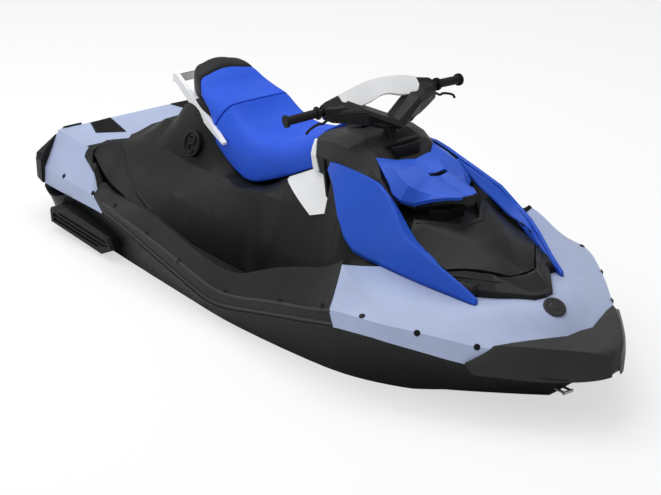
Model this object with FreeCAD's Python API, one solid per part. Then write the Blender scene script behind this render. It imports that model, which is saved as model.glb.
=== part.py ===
import FreeCAD, Part
import math
import os

os.makedirs("parts", exist_ok=True)

# Personal watercraft, millimetres. X runs from the stern to the bow, Y to port, Z up from the keel.
# Pieces are drawn from the stern and the keel, then moved so that the origin is on the waterline.
ORIGIN_X = 1400.0
DRAFT = 187.0

# Thin gaps between pieces that meet along curved faces
SEAM = 0.4
RUN_GAP = 6.0

# Hull lines, each a list of (x, value)
KEEL_Z = [(0, 14), (250, 0), (2240, 0), (2320, 10), (2420, 53), (2520, 106), (2600, 152), (2665, 198),
          (2800, 304), (2880, 338)]
CHINE_Y = [(0, 445), (300, 475), (570, 495), (1040, 505), (1580, 502), (1970, 478), (2200, 405),
           (2450, 275), (2600, 190), (2700, 130), (2800, 78), (2880, 42)]
CHINE_Z = [(0, 200), (300, 192), (570, 186), (1040, 156), (1580, 143), (1970, 160), (2200, 172),
           (2450, 215), (2600, 258), (2700, 292), (2800, 330), (2880, 350)]
GUNWALE_Y = [(0, 498), (300, 530), (570, 553), (860, 576), (1100, 586), (1350, 591), (1650, 588),
             (1940, 580), (2160, 566), (2285, 540), (2450, 462), (2600, 366), (2700, 292), (2800, 212),
             (2880, 132)]
GUNWALE_Z = [(0, 334), (300, 356), (560, 371), (860, 340), (1030, 312), (1172, 289), (1330, 262),
             (1416, 262), (1506, 277), (1697, 322), (1940, 378), (2170, 430), (2285, 437), (2350, 432),
             (2467, 419), (2590, 398), (2700, 385), (2800, 375), (2880, 368)]
CHINE_FLAT = 34.0
CHINE_RISE = 7.0
HULL_END_X = 2880.0

# Deck edge lines above the hull joint
CREASE_Y = [(0, 494), (300, 528), (570, 552), (860, 575), (1100, 586), (1350, 591), (1650, 588),
            (1940, 579), (2160, 562), (2263, 541), (2444, 445), (2621, 325), (2700, 262), (2800, 180)]
CREASE_Z = [(0, 408), (300, 420), (570, 425), (740, 410), (925, 398), (1162, 365), (1345, 337),
            (1437, 332), (1580, 356), (1790, 408), (2000, 454), (2170, 492), (2263, 495), (2444, 482),
            (2621, 458), (2700, 452), (2800, 440)]
RIM_Y = [(480, 497), (626, 508), (860, 525), (1173, 535), (1348, 540), (1460, 540), (1634, 527),
         (1846, 505), (2010, 466), (2140, 425)]
RIM_Z = [(430, 480), (480, 473), (626, 458), (860, 468), (1173, 424), (1348, 403), (1460, 409), (1634, 472),
         (1846, 548), (2010, 606), (2140, 630)]
RIM_WIDTH = 20.0
RIM_DROP = 5.0
SIDE_WALL = 46.0
BAND_FRONT_X = 2135.0
BAND_TOP_FRONT_X = 2028.0

# Footwell floor height along the seat base and along the side band
FLOOR_Z = [(250, 560), (350, 548), (450, 526), (542, 500), (640, 460), (737, 418), (900, 362), (1100, 322),
           (1350, 300), (1550, 332), (1750, 385), (1880, 430), (1960, 480), (2030, 540), (2080, 560)]
FLOOR_OUT_Z = [(250, 556), (350, 530), (430, 474), (542, 446), (640, 428), (737, 402), (900, 358),
               (1100, 322), (1350, 300), (1550, 332), (1750, 385), (1880, 430), (1960, 480), (2030, 540),
               (2080, 560)]

# Seat base: base at the floor, waist, shoulder crease and top edge, as (x, y, z) down one side
BASE_Y = [(246, 225), (290, 285), (350, 315), (450, 358), (542, 398), (640, 428), (737, 440), (850, 430),
          (1000, 400), (1200, 362), (1350, 345), (1600, 345), (1800, 370), (1960, 400), (2030, 340),
          (2090, 270)]
WAIST_Y = [(246, 218), (290, 265), (350, 285), (450, 315), (542, 345), (640, 362), (737, 366), (850, 362),
           (1000, 345), (1200, 322), (1350, 312), (1600, 312), (1800, 330), (1960, 345)]
WAIST_Z = [(246, 561), (290, 560), (350, 562), (450, 556), (542, 540), (640, 518), (737, 500), (850, 476),
           (1000, 452), (1200, 440), (1350, 440), (1600, 480), (1800, 520), (1960, 555)]
CREST_Y = [(246, 205), (290, 215), (350, 222), (450, 228), (600, 234), (750, 238), (1000, 240), (1350, 242),
           (1600, 252), (1800, 275), (1960, 300)]
CREST_Z = [(246, 562), (290, 567), (350, 580), (450, 592), (600, 588), (750, 580), (1000, 588), (1350, 604),
           (1600, 622), (1800, 640), (1960, 640)]
TOP_Y = [(246, 100), (290, 115), (400, 125), (560, 142), (750, 160), (1000, 172), (1350, 172), (1600, 180),
         (1800, 200), (1960, 210)]
SEAT_LOW = [(600, 792), (700, 830), (745, 834), (850, 744), (900, 692), (985, 612), (1045, 583),
            (1100, 580), (1300, 660), (1510, 762)]
TOP_Z = [(246, 574), (290, 600), (400, 650), (520, 712), (600, 784)] + [
    (x, z - SEAM) for x, z in SEAT_LOW[1:]] + [(1530, 764), (1700, 764)]
PEDESTAL_REAR_X = 246.0
PEDESTAL_FRONT_X = 1700.0

# Stern superstructure
AFT_TOP_Z = 562.0
AFT_FRONT_X = 560.0
AFT_RIM_Y = [(0, 418), (200, 432), (400, 448), (560, 460)]

# Wing panels: top edge and lower edge as (x, y, z)
WING_TOP = [(1682, 238, 850), (1740, 237, 853), (1820, 228, 848), (1880, 220, 841), (1930, 216, 833),
            (1990, 226, 813), (2089, 260, 764), (2160, 279, 708), (2243, 270, 676), (2309, 255, 646),
            (2407, 227, 594), (2482, 212, 553)]
WING_LOW = [(1682, 255, 812), (1740, 280, 780), (1820, 320, 690), (1880, 335, 625), (1930, 334, 588),
            (1990, 322, 574), (2089, 302, 564), (2160, 291, 558), (2243, 277, 552), (2309, 262, 546),
            (2407, 238, 537), (2482, 217, 529)]
WING_THICK = 16.0

# Lid, its hinge and the bin beneath it
LID_HINGE_X = 2478.0
LID_HINGE_Z = 600.0
LID_PIN_R = 4.0
LID_GAP = 10.0
LID_SKIN = 26.0
BIN_WALL = 4.0

# Steering
COLUMN_X = 1745.0
COLUMN_Z = 930.0
COLUMN_TILT_DEG = 30.0
GRIP_R = 17.0

# Radial clearance of a pin or shaft in its bore
PIN_GAP = 0.05

# Jet drive along one shaft line
SHAFT_Z = 98.0
SHAFT_R = 12.0
PUMP_BORE_R = 72.0
PUMP_WALL = 9.0
PUMP_REAR_X = 60.0
PUMP_LENGTH = 300.0
NOZZLE_PIVOT_X = 20.0


def at(curve, x):
    """Value of a line at x, on a smooth curve that never overshoots its points."""
    if x <= curve[0][0]:
        return float(curve[0][1])
    if x >= curve[-1][0]:
        return float(curve[-1][1])
    n = len(curve)
    slopes = [(curve[i + 1][1] - curve[i][1]) / (curve[i + 1][0] - curve[i][0]) for i in range(n - 1)]
    tangents = [slopes[0]]
    for i in range(1, n - 1):
        a, b = slopes[i - 1], slopes[i]
        tangents.append(0.0 if a * b <= 0 else 2 * a * b / (a + b))
    tangents.append(slopes[-1])
    for i in range(n - 1):
        x0, y0 = curve[i]
        x1, y1 = curve[i + 1]
        if x <= x1:
            h = x1 - x0
            t = (x - x0) / h
            return (y0 * (1 + 2 * t) * (1 - t) ** 2 + tangents[i] * h * t * (1 - t) ** 2
                    + y1 * t * t * (3 - 2 * t) + tangents[i + 1] * h * t * t * (t - 1))


def vec(x, y, z):
    return FreeCAD.Vector(x, y, z)


def wire(points):
    return Part.makePolygon(points + [points[0]])


def loft(sections, ruled=False):
    """Closed solid through polygons with the same number of corners."""
    solid = Part.makeLoft([wire(s) for s in sections], True, ruled)
    if solid.Volume < 0:
        solid.reverse()
    return solid


def section(x, half):
    """Full section at x from (y, z) corners of the port half, listed from bottom to top."""
    port = [vec(x, y, z) for y, z in half]
    starboard = [vec(x, -y, z) for y, z in reversed(half) if y > 0]
    return port + starboard


def prism_y(points, y0, y1):
    """Outline in x and z, drawn out across the craft."""
    face = Part.Face(wire([vec(x, y0, z) for x, z in points]))
    return face.extrude(vec(0, y1 - y0, 0))


def prism_z(points, z0, z1):
    """Outline in x and y, drawn up."""
    face = Part.Face(wire([vec(x, y, z0) for x, y in points]))
    return face.extrude(vec(0, 0, z1 - z0))


def prism_x(points, x0, x1):
    """Outline in y and z, drawn forward."""
    face = Part.Face(wire([vec(x0, y, z) for y, z in points]))
    return face.extrude(vec(x1 - x0, 0, 0))


def box(x0, x1, y0, y1, z0, z1):
    return Part.makeBox(x1 - x0, y1 - y0, z1 - z0, vec(x0, y0, z0))


def rod(start, end, radius):
    return Part.makeCylinder(radius, start.distanceToPoint(end), start, end - start)


def mirrored(shape):
    return shape.mirror(vec(0, 0, 0), vec(0, 1, 0))


def both(shape):
    return [shape, mirrored(shape)]


def fuse(shapes):
    return shapes[0].multiFuse(shapes[1:]).removeSplitter()


def cut(shape, tools):
    for tool in tools:
        shape = shape.cut(tool)
    return shape


def save(name, shape):
    placed = shape.copy()
    placed.translate(vec(-ORIGIN_X, 0, -DRAFT))
    placed.exportStep("parts/%s.step" % name)
    print("%-26s solids %d  volume %9.0f cm3  valid %s" % (
        name, len(placed.Solids), placed.Volume / 1000, placed.isValid()))


def polyline(curve, x0, x1, count):
    return [(x, at(curve, x)) for x in [x0 + (x1 - x0) * i / float(count) for i in range(count + 1)]]


def beyond(a, b, dz):
    """Point past b on the line from a to b, dz further in height."""
    k = dz / (b[1] - a[1])
    return (b[0] + k * (b[0] - a[0]), b[1] + dz)


# Joint between hull and deck: everything above it belongs to the deck
JOINT_LAP = 20.0
joint_line = polyline(GUNWALE_Z, -100, 3000, 62)
above_joint = prism_y(joint_line + [(3000, 1300), (-100, 1300)], -800, 800)
below_joint = prism_y(joint_line + [(3000, -300), (-100, -300)], -800, 800)

# Hull: vee bottom, flat chine and flared side up to the deck joint
HULL_X = [0, 280, 560, 860, 1100, 1350, 1600, 1860, 2060, 2240, 2340, 2450, 2560, 2680, 2790, HULL_END_X]


def hull_section(x):
    yc, zc = at(CHINE_Y, x), at(CHINE_Z, x)
    yg, zg = at(GUNWALE_Y, x), at(GUNWALE_Z, x)
    flat = min(CHINE_FLAT, 0.4 * yc)
    return section(x, [(0, at(KEEL_Z, x)), (yc - flat, zc - CHINE_RISE), (yc, zc),
                       beyond((yc, zc), (yg, zg), JOINT_LAP)])


hull = loft([hull_section(x) for x in HULL_X]).cut(above_joint)
tunnel_r = PUMP_BORE_R + PUMP_WALL + 14
NOTCH_X, NOTCH_HALF, NOTCH_Z = 134.0, 112.0, 212.0
stern_notch = box(-20, NOTCH_X, -NOTCH_HALF, NOTCH_HALF, -30, NOTCH_Z)
duct_x = PUMP_REAR_X + PUMP_LENGTH + 40
tunnel = fuse([stern_notch, rod(vec(-20, 0, SHAFT_Z), vec(duct_x, 0, SHAFT_Z), tunnel_r),
               box(-20, duct_x, -tunnel_r, tunnel_r, -30, SHAFT_Z)])
intake_front_x = 980.0
duct = loft([
    [vec(duct_x - 1, -tunnel_r + 12, SHAFT_Z + 70), vec(duct_x - 1, tunnel_r - 12, SHAFT_Z + 70),
     vec(duct_x - 1, tunnel_r - 12, -30), vec(duct_x - 1, -tunnel_r + 12, -30)],
    [vec(intake_front_x, -tunnel_r + 12, 12), vec(intake_front_x, tunnel_r - 12, 12),
     vec(intake_front_x, tunnel_r - 12, -30), vec(intake_front_x, -tunnel_r + 12, -30)]], True)
ENGINE_X0, ENGINE_X1 = 1010.0, 1420.0
ENGINE_HALF = 170.0
ENGINE_Z0, ENGINE_Z1 = 70.0, 430.0
BAY_GAP = 0.5
bay = box(ENGINE_X0 - BAY_GAP, ENGINE_X1 + BAY_GAP, -ENGINE_HALF - BAY_GAP, ENGINE_HALF + BAY_GAP,
          ENGINE_Z0, ENGINE_Z1 + BAY_GAP)
shaft_hole = rod(vec(duct_x - 60, 0, SHAFT_Z), vec(ENGINE_X0 + 5, 0, SHAFT_Z), SHAFT_R + RUN_GAP)
hull = cut(hull, [tunnel, duct, bay, shaft_hole])
save("hull", hull)

# Side bands of the deck, from the hull joint over the crease to the footwell rim
BAND_X = [470, 620, 860, 1080, 1250, 1370, 1500, 1640, 1846, 2010, BAND_FRONT_X]


def band_section(x):
    yg, zg = at(GUNWALE_Y, x), at(GUNWALE_Z, x)
    yb, zb = at(CREASE_Y, x), at(CREASE_Z, x)
    yr, zr = at(RIM_Y, x), at(RIM_Z, x)
    low = beyond((yb, zb), (yg, zg), -JOINT_LAP)
    return [vec(x, low[0], low[1]), vec(x, yb, zb), vec(x, yr, zr),
            vec(x, yr - RIM_WIDTH, zr - RIM_DROP), vec(x, yr - SIDE_WALL, low[1])]


band = loft([band_section(x) for x in BAND_X])
band_rear = prism_y([(300, 300), (AFT_FRONT_X, 300), (AFT_FRONT_X, 372), (438, 450), (400, 560),
                     (300, 560)], 300, 700)
bow_joint = [(BAND_FRONT_X, 400), (BAND_TOP_FRONT_X, 640), (BAND_TOP_FRONT_X, 900)]
band = cut(band, [below_joint, band_rear, prism_y(bow_joint + [(2300, 900), (2300, 400)], 300, 700)])
save("deck_band_left", band)
save("deck_band_right", mirrored(band))


# Footwell floors between the bands and the seat base, ramping up to the stern deck
def floor_section(x):
    low = at(GUNWALE_Z, x) - JOINT_LAP
    outer = at(RIM_Y, x) - SIDE_WALL if x > 480 else at(AFT_RIM_Y, x) - 2
    return [vec(x, outer, low), vec(x, outer, at(FLOOR_OUT_Z, x)), vec(x, at(BASE_Y, x), at(FLOOR_Z, x)),
            vec(x, 120, at(FLOOR_Z, x)), vec(x, 120, low)]


FLOOR_X = [250, 340, 430, 560, 700, 900, 1100, 1350, 1550, 1750, 1880, 1960, 2030, 2080]
floor_block = loft([floor_section(x) for x in FLOOR_X])


def pedestal_section(x, inset=0.0):
    low = at(GUNWALE_Z, x) - JOINT_LAP
    return section(x, [(0, low), (at(BASE_Y, x) - inset, low),
                       (at(BASE_Y, x) - inset, at(FLOOR_Z, x) + 4), (at(WAIST_Y, x) - inset, at(WAIST_Z, x)),
                       (at(CREST_Y, x) - inset, at(CREST_Z, x)), (at(TOP_Y, x) - inset, at(TOP_Z, x)),
                       (0, at(TOP_Z, x) + 6)])


PEDESTAL_X = [PEDESTAL_REAR_X, 290, 350, 430, 520, 600, 700, 760, 850, 930, 1000, 1060, 1150, 1300, 1420,
              1510, 1600, PEDESTAL_FRONT_X]
pedestal = loft([pedestal_section(x) for x in PEDESTAL_X])
seat_line = polyline(SEAT_LOW, 580, 1520, 40)
above_seat_line = prism_y(seat_line + [(1520, 765), (1720, 765), (1720, 1300), (580, 1300)], -400, 400)
flank = pedestal
pedestal = cut(pedestal, [below_joint, above_seat_line])


# Stern superstructure in the light colour: side panels, platform and centre step
def aft_section(x):
    crease = (at(CREASE_Y, x), at(CREASE_Z, x))
    low = beyond(crease, (at(GUNWALE_Y, x), at(GUNWALE_Z, x)), -JOINT_LAP)
    return section(x, [(0, low[1]), low, crease, (at(AFT_RIM_Y, x), AFT_TOP_Z), (0, AFT_TOP_Z)])


aft = loft([aft_section(x) for x in [0, 200, 400, AFT_FRONT_X]])
side_front = prism_y([(AFT_FRONT_X, 372), (438, 450), (372, 545), (340, 700), (800, 700), (800, 300),
                      (AFT_FRONT_X, 300)], -700, 700)
well = prism_z([(355, 470), (330, 452), (283, 385), (249, 304), (277, 256), (295, 211), (317, 125), (303, 50),
                (303, -50), (317, -125), (295, -211), (277, -256), (249, -304), (283, -385), (330, -452),
                (355, -470), (900, -470), (900, 470)], 300, 700)
aft = cut(aft, [below_joint, side_front, well])
well_floor = cut(floor_block, [below_joint, bay])
footwell = cut(well_floor, [pedestal, aft, band])
pedestal = cut(pedestal, [bay, aft])
pedestal = max(pedestal.Solids, key=lambda s: s.Volume)
save("aft_deck", aft)

# Traction mats set on the stern platform
MAT_THICK = 5.0
mat = prism_z([(14, 264), (8, 158), (205, 204), (138, 314)], AFT_TOP_Z, AFT_TOP_Z + MAT_THICK)
save("traction_mat_left", mat)
save("traction_mat_right", mirrored(mat))

# Stern corner caps
CAP = [
    (0, [(300, 305), (455, 305), (512, 352), (512, 440), (492, 480), (380, 570), (300, 570)]),
    (-30, [(305, 303), (448, 303), (510, 350), (510, 440), (488, 478), (372, 560), (305, 560)]),
    (-60, [(325, 325), (445, 325), (500, 348), (503, 438), (476, 474), (356, 542), (325, 542)])]
cap = loft([[vec(x, y, z) for y, z in half] for x, half in CAP], True)
save("stern_cap_left", cap)
save("stern_cap_right", mirrored(cap))

# Bow deck in the light colour, from the bands to the bumper
SHOULDER_Y = [(2020, 460), (2100, 475), (2180, 470), (2285, 425), (2444, 330), (2621, 215), (2700, 150),
              (2800, 90)]
SHOULDER_Z = [(2020, 615), (2100, 585), (2180, 550), (2285, 530), (2444, 518), (2621, 498), (2700, 480),
              (2800, 446)]
SPINE_Y = [(2020, 320), (2285, 270), (2444, 215), (2621, 120), (2700, 80), (2800, 40)]
SPINE_Z = [(2020, 575), (2285, 550), (2444, 540), (2621, 535), (2700, 497), (2800, 448)]
CENTRE_Z = [(2020, 560), (2285, 556), (2444, 556), (2621, 552), (2700, 504), (2800, 446)]


def bow_section(x):
    crease = (at(CREASE_Y, x), at(CREASE_Z, x))
    low = beyond(crease, (at(GUNWALE_Y, x), at(GUNWALE_Z, x)), -JOINT_LAP)
    return section(x, [(0, low[1]), low, crease, (at(SHOULDER_Y, x), at(SHOULDER_Z, x)),
                       (at(SPINE_Y, x), at(SPINE_Z, x)), (0, at(CENTRE_Z, x))])


bow = loft([bow_section(x) for x in [2020, 2100, 2180, 2285, 2380, 2480, 2621, 2700, 2800]])
bow = cut(bow, [below_joint, prism_y(bow_joint + [(1900, 900), (1900, 400)], -700, 700)])

# Bow bumper wrapped round the stem
BUMPER_Y = [(2570, 405), (2610, 376), (2700, 305), (2800, 218), (2880, 138), (2940, 72), (2972, 20)]


def bumper_section(x, low, mid, top):
    y = at(BUMPER_Y, x)
    return section(x, [(0, low), (0.62 * y, low + 6), (0.96 * y, mid - 46), (y, mid), (0.86 * y, top),
                       (0, top + 12)])


bumper = loft([bumper_section(2590, 345, 408, 452), bumper_section(2650, 342, 405, 464),
               bumper_section(2720, 340, 404, 474), bumper_section(2800, 342, 403, 478),
               bumper_section(2880, 352, 408, 478), bumper_section(2940, 372, 418, 474),
               bumper_section(2972, 408, 430, 458)])
BUMPER_BACK = [(2612, 372), (2655, 305), (2690, 233), (2790, 60)]
bumper_back = prism_z([(2400, -600), (2612, -600)] + [(x, -y) for x, y in BUMPER_BACK]
                      + [(x, y) for x, y in reversed(BUMPER_BACK)] + [(2612, 600), (2400, 600)], 0, 900)
bumper = cut(bumper, [bumper_back, hull])
bumper = max(bumper.Solids, key=lambda s: s.Volume)
bow = cut(bow, [bumper, prism_z([(x, -y) for x, y in BUMPER_BACK] + [(x, y) for x, y in reversed(BUMPER_BACK)]
                                + [(3000, 500), (3000, -500)], 300, 900)])


# Wing panels
def wing_section(i):
    x, ty, tz = WING_TOP[i]
    _, ly, lz = WING_LOW[i]
    return [vec(x, ly, lz), vec(x, ty, tz), vec(x, ty - WING_THICK, tz - 4), vec(x, ly - WING_THICK, lz)]


wing = loft([wing_section(i) for i in range(len(WING_TOP))])
wings = both(wing)

# Lid outline, port half from front to rear, and its crown
LID_OUT = [(2497, 0), (2484, 60), (2322, 213), (2260, 222), (2110, 206), (2085, 165), (2130, 118),
           (2240, 58), (2262, 0)]
LID_Z = [(1700, 790), (1980, 762), (2100, 738), (2250, 712), (2400, 660), (2500, 612), (2560, 590)]
LID_EDGE_Z = [(1700, 790), (1980, 722), (2060, 696), (2150, 662), (2320, 616), (2500, 600), (2560, 590)]
LID_EDGE_Y = 225.0


def lid_surface(x0, x1, drop):
    """Block whose top follows the crown of the lid, lowered by drop."""
    rows = []
    for x in [x0 + (x1 - x0) * i / 8.0 for i in range(9)]:
        zc, ze = at(LID_Z, x) - drop, at(LID_EDGE_Z, x) - drop
        rows.append(section(x, [(0, 400), (LID_EDGE_Y, 400), (LID_EDGE_Y, ze), (100, zc - 16), (0, zc)]))
    return loft(rows)


def outline(points, grow=0.0):
    """Both halves of an outline, pushed outward from a point within it."""
    cx = 0.5 * (points[0][0] + points[-3][0])
    full = [(x, y) for x, y in points] + [(x, -y) for x, y in reversed(points) if y > 0]
    out = []
    for x, y in full:
        d = math.hypot(x - cx, y) or 1.0
        out.append((x + grow * (x - cx) / d, y + grow * y / d))
    return out


lid_plan = prism_z(outline(LID_OUT), 300, 1000)
lid = lid_surface(2000, 2540, 0).common(lid_plan).cut(lid_surface(1990, 2550, LID_SKIN))
hinge_pin = rod(vec(LID_HINGE_X, -90, LID_HINGE_Z), vec(LID_HINGE_X, 90, LID_HINGE_Z), LID_PIN_R)
lid = fuse([lid, hinge_pin])

# Bin under the lid
BIN_X0, BIN_X1, BIN_Y, BIN_Z = 2150.0, 2430.0, 140.0, 470.0
BIN_TOP_GAP = 2.0
under_lid = lid_surface(1990, 2550, LID_SKIN + BIN_TOP_GAP)
bin_outer = box(BIN_X0, BIN_X1, -BIN_Y, BIN_Y, BIN_Z, 800).common(under_lid)
bin_inner = box(BIN_X0 + BIN_WALL, BIN_X1 - BIN_WALL, -BIN_Y + BIN_WALL, BIN_Y - BIN_WALL,
                BIN_Z + BIN_WALL, 900)
storage_bin = bin_outer.cut(bin_inner)

# Console ahead of the seat, carrying the steering column
CONSOLE = [
    (1522, [(0, 765), (190, 765), (204, 830), (186, 885), (150, 902), (110, 908), (0, 908)]),
    (1560, [(0, 765), (204, 765), (214, 845), (196, 896), (155, 914), (110, 922), (0, 924)]),
    (1645, [(0, 765), (210, 765), (219, 848), (186, 912), (155, 922), (106, 931), (0, 933)]),
    (1720, [(0, 765), (208, 765), (217, 848), (178, 899), (142, 914), (104, 930), (0, 935)]),
    (1770, [(0, 765), (205, 765), (213, 845), (171, 872), (132, 908), (100, 924), (0, 931)]),
    (1800, [(0, 765), (203, 765), (211, 842), (169, 862), (130, 900), (112, 906), (0, 912)]),
    (1828, [(0, 765), (200, 765), (208, 836), (170, 856), (134, 886), (118, 882), (0, 880)]),
    (1852, [(0, 765), (198, 765), (206, 828), (174, 849), (148, 868), (134, 862), (0, 860)]),
    (1900, [(0, 765), (196, 765), (204, 800), (186, 840), (172, 838), (158, 818), (0, 812)]),
    (1950, [(0, 755), (186, 755), (195, 780), (192, 804), (185, 805), (172, 792), (0, 788)]),
    (1985, [(0, 748), (176, 748), (185, 764), (183, 776), (179, 777), (170, 770), (0, 768)])]
console = loft([section(x, half) for x, half in CONSOLE])

# Hood between the wings, from the footwell floors up to the lid and the cowl
HOOD_FRONT_X = 2440.0
COLLAR_Y = [(1700, 186), (1830, 184), (1900, 190), (1960, 196), (2010, 190), (2060, 160), (2100, 140)]
COLLAR_Z = [(1700, 760), (1800, 800), (1830, 826), (1900, 820), (1950, 806), (1990, 776), (2040, 720),
            (2100, 640)]


def hood_half(x):
    inset = WING_THICK + 2.0
    ty = at([(p[0], p[1]) for p in WING_TOP], x) - inset
    tz = at([(p[0], p[2]) for p in WING_TOP], x) - 10
    ly = at([(p[0], p[1]) for p in WING_LOW], x) - inset
    lz = at([(p[0], p[2]) for p in WING_LOW], x)
    zc, ze = at(LID_Z, x) - LID_SKIN - 1, at(LID_EDGE_Z, x) - LID_SKIN - 1
    base_y, base_z = max(at(BASE_Y, x), ly + 4), min(at(FLOOR_Z, x) + 4, lz - 14)
    low_z = at(GUNWALE_Z, x) - JOINT_LAP
    collar_z = max(at(COLLAR_Z, x), ze + 2)
    collar_y = min(at(COLLAR_Y, x) if collar_z > ze + 2 else LID_EDGE_Y, ty - 12)
    return section(x, [(0, low_z), (base_y, low_z), (base_y, base_z), (ly, lz), (ty, tz),
                       (collar_y, collar_z), (collar_y - 3, ze), (90, zc - 16), (0, zc)])


hood_stations = [PEDESTAL_FRONT_X + i * (HOOD_FRONT_X - PEDESTAL_FRONT_X) / 16.0 for i in range(17)]
hood = loft([hood_half(x) for x in hood_stations], True)
hood_low = box(BAND_TOP_FRONT_X - 40, 3000, -700, 700, 0, 520)
over_lid = prism_z(outline(LID_OUT, LID_GAP), 300, 1000).cut(lid_surface(1900, 2560, LID_SKIN + 1))
hood = cut(hood, [below_joint, hood_low, over_lid, console])
hood = max(hood.Solids, key=lambda s: s.Volume)

# Surround that carries the front edge of the lid and its hinge pins
SURROUND_OUT = [(2612, 0), (2600, 40), (2385, 190), (2310, 238), (2280, 238)]
SURROUND_TOP = [(2522, 0), (2512, 52), (2352, 200), (2305, 228), (2280, 228)]
SURROUND_LOW_Z, SURROUND_EDGE_Z, SURROUND_TOP_Z = 500.0, 566.0, 608.0


def surround_ring(half, z):
    return [vec(x, y, z) for x, y in half] + [vec(x, -y, z) for x, y in reversed(half) if y > 0]


surround = loft([surround_ring(SURROUND_OUT, SURROUND_LOW_Z), surround_ring(SURROUND_OUT, SURROUND_EDGE_Z),
                 surround_ring(SURROUND_TOP, SURROUND_TOP_Z)], True)
hinge_bore = rod(vec(LID_HINGE_X, -150, LID_HINGE_Z), vec(LID_HINGE_X, 150, LID_HINGE_Z),
                 LID_PIN_R + PIN_GAP)
lid_hole = prism_z(outline(LID_OUT, LID_GAP), 300, 1000)
surround = cut(surround, [lid_hole, hood, bin_outer, hinge_bore] + wings)
surround = max(surround.Solids, key=lambda s: s.Volume)
bow = cut(bow, [hood, bin_outer, surround] + wings)
bow = max(bow.Solids, key=lambda s: s.Volume)
hood = cut(hood, [bin_outer])
footwell = cut(footwell, [hood, bow, wing])
footwell = max(footwell.Solids, key=lambda s: s.Volume)
save("footwell_left", footwell)
save("footwell_right", mirrored(footwell))
save("bow_deck", bow)
save("bow_bumper", bumper)
save("hood", hood)
save("lid_surround", surround)
save("storage_bin", storage_bin)
save("storage_lid", lid)
save("pedestal", pedestal)
save("wing_left", wing)
save("wing_right", mirrored(wing))

# Steering column, raked back, in its bore in the console
tilt = math.radians(COLUMN_TILT_DEG)
column_dir = vec(-math.sin(tilt), 0, math.cos(tilt))
column_base = vec(COLUMN_X, 0, COLUMN_Z)


def along_column(d):
    return column_base + column_dir * d


COLUMN_R = 22.0
COLUMN_FOOT = -40.0
COLUMN_HEAD = 46.0
console = console.cut(rod(along_column(COLUMN_FOOT - SEAM), along_column(120), COLUMN_R + PIN_GAP))
save("console", console)

# Seat: long front pad, rear pad and a dark raised tail
SEAT = [
    (585, 798, 100, 112, 885, 85, 945, 962), (625, 806, 125, 138, 885, 112, 935, 958),
    (680, 826, 145, 152, 862, 126, 892, 908), (745, 836, 158, 166, 850, 128, 868, 874),
    (850, 746, 178, 182, 800, 132, 862, 866), (910, 684, 186, 190, 770, 136, 856, 862),
    (985, 614, 190, 196, 715, 146, 800, 806), (1045, 585, 190, 197, 690, 150, 776, 780),
    (1120, 586, 190, 197, 700, 150, 770, 774), (1300, 662, 187, 195, 745, 146, 802, 810),
    (1420, 720, 184, 191, 795, 138, 860, 872), (1520, 766, 180, 186, 842, 128, 915, 932)]


def seat_section(row):
    x, low, yb, ym, zm, yt, zt, zc = row
    return section(x, [(0, low - JOINT_LAP), (yb, low - JOINT_LAP), (ym, zm), (yt, zt), (0, zc)])


seat = loft([seat_section(row) for row in SEAT]).common(above_seat_line)
PAD_SEAM_X = 912.0
TAIL_X = 655.0
pad_seam = [(PAD_SEAM_X - 60, 500), (PAD_SEAM_X - 60, 750), (PAD_SEAM_X, 870), (PAD_SEAM_X, 1100)]
front_of_seam = prism_y(pad_seam + [(2000, 1100), (2000, 500)], -400, 400)
tail_line = [(TAIL_X + 40, 700), (TAIL_X + 40, 880), (TAIL_X - 20, 940), (TAIL_X - 20, 1100)]
front_of_tail = prism_y(tail_line + [(2000, 1100), (2000, 700)], -400, 400)
save("seat_front", seat.common(front_of_seam))
save("seat_rear", seat.common(front_of_tail).cut(front_of_seam))
save("seat_tail", seat.cut(front_of_tail).cut(front_of_seam))

# Nose cowl over the front of the console
COWL = [
    (1826, [(134, 868), (138, 889), (112, 889), (60, 884), (0, 878)]),
    (1890, [(154, 842), (160, 862), (126, 879), (62, 879), (0, 870)]),
    (1948, [(168, 811), (174, 829), (136, 860), (60, 871), (0, 862)]),
    (1978, [(177, 783), (183, 799), (140, 845), (52, 864), (0, 857)]),
    (2012, [(166, 767), (172, 781), (132, 828), (43, 855), (0, 850)]),
    (2040, [(128, 754), (134, 768), (112, 812), (39, 847), (0, 838)]),
    (2066, [(112, 766), (118, 780), (96, 808), (38, 840), (0, 828)]),
    (2100, [(99, 781), (105, 794), (82, 806), (35, 834), (0, 822)]),
    (2150, [(63, 796), (68, 808), (56, 813), (32, 826), (0, 817)]),
    (2198, [(34, 804), (36, 814), (34, 816), (32, 818), (0, 814)])]
cowl = loft([section(x, [(0, half[0][1])] + half) for x, half in COWL], True)
cowl_rear = prism_z([(1700, -300), (1800, -300), (1828, -140), (1886, -80), (1892, 0), (1886, 80),
                     (1828, 140), (1800, 300), (1700, 300)], 700, 1100)
SCOOP_X, SCOOP_WIDTH, SCOOP_HALF = 2010.0, 20.0, 42.0
scoop = box(SCOOP_X, SCOOP_X + SCOOP_WIDTH, -SCOOP_HALF, SCOOP_HALF, 822, 900)
cowl = cut(cowl, [cowl_rear, scoop, console])
cowl = max(cowl.Solids, key=lambda s: s.Volume)
save("nose_cowl", cowl)

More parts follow.
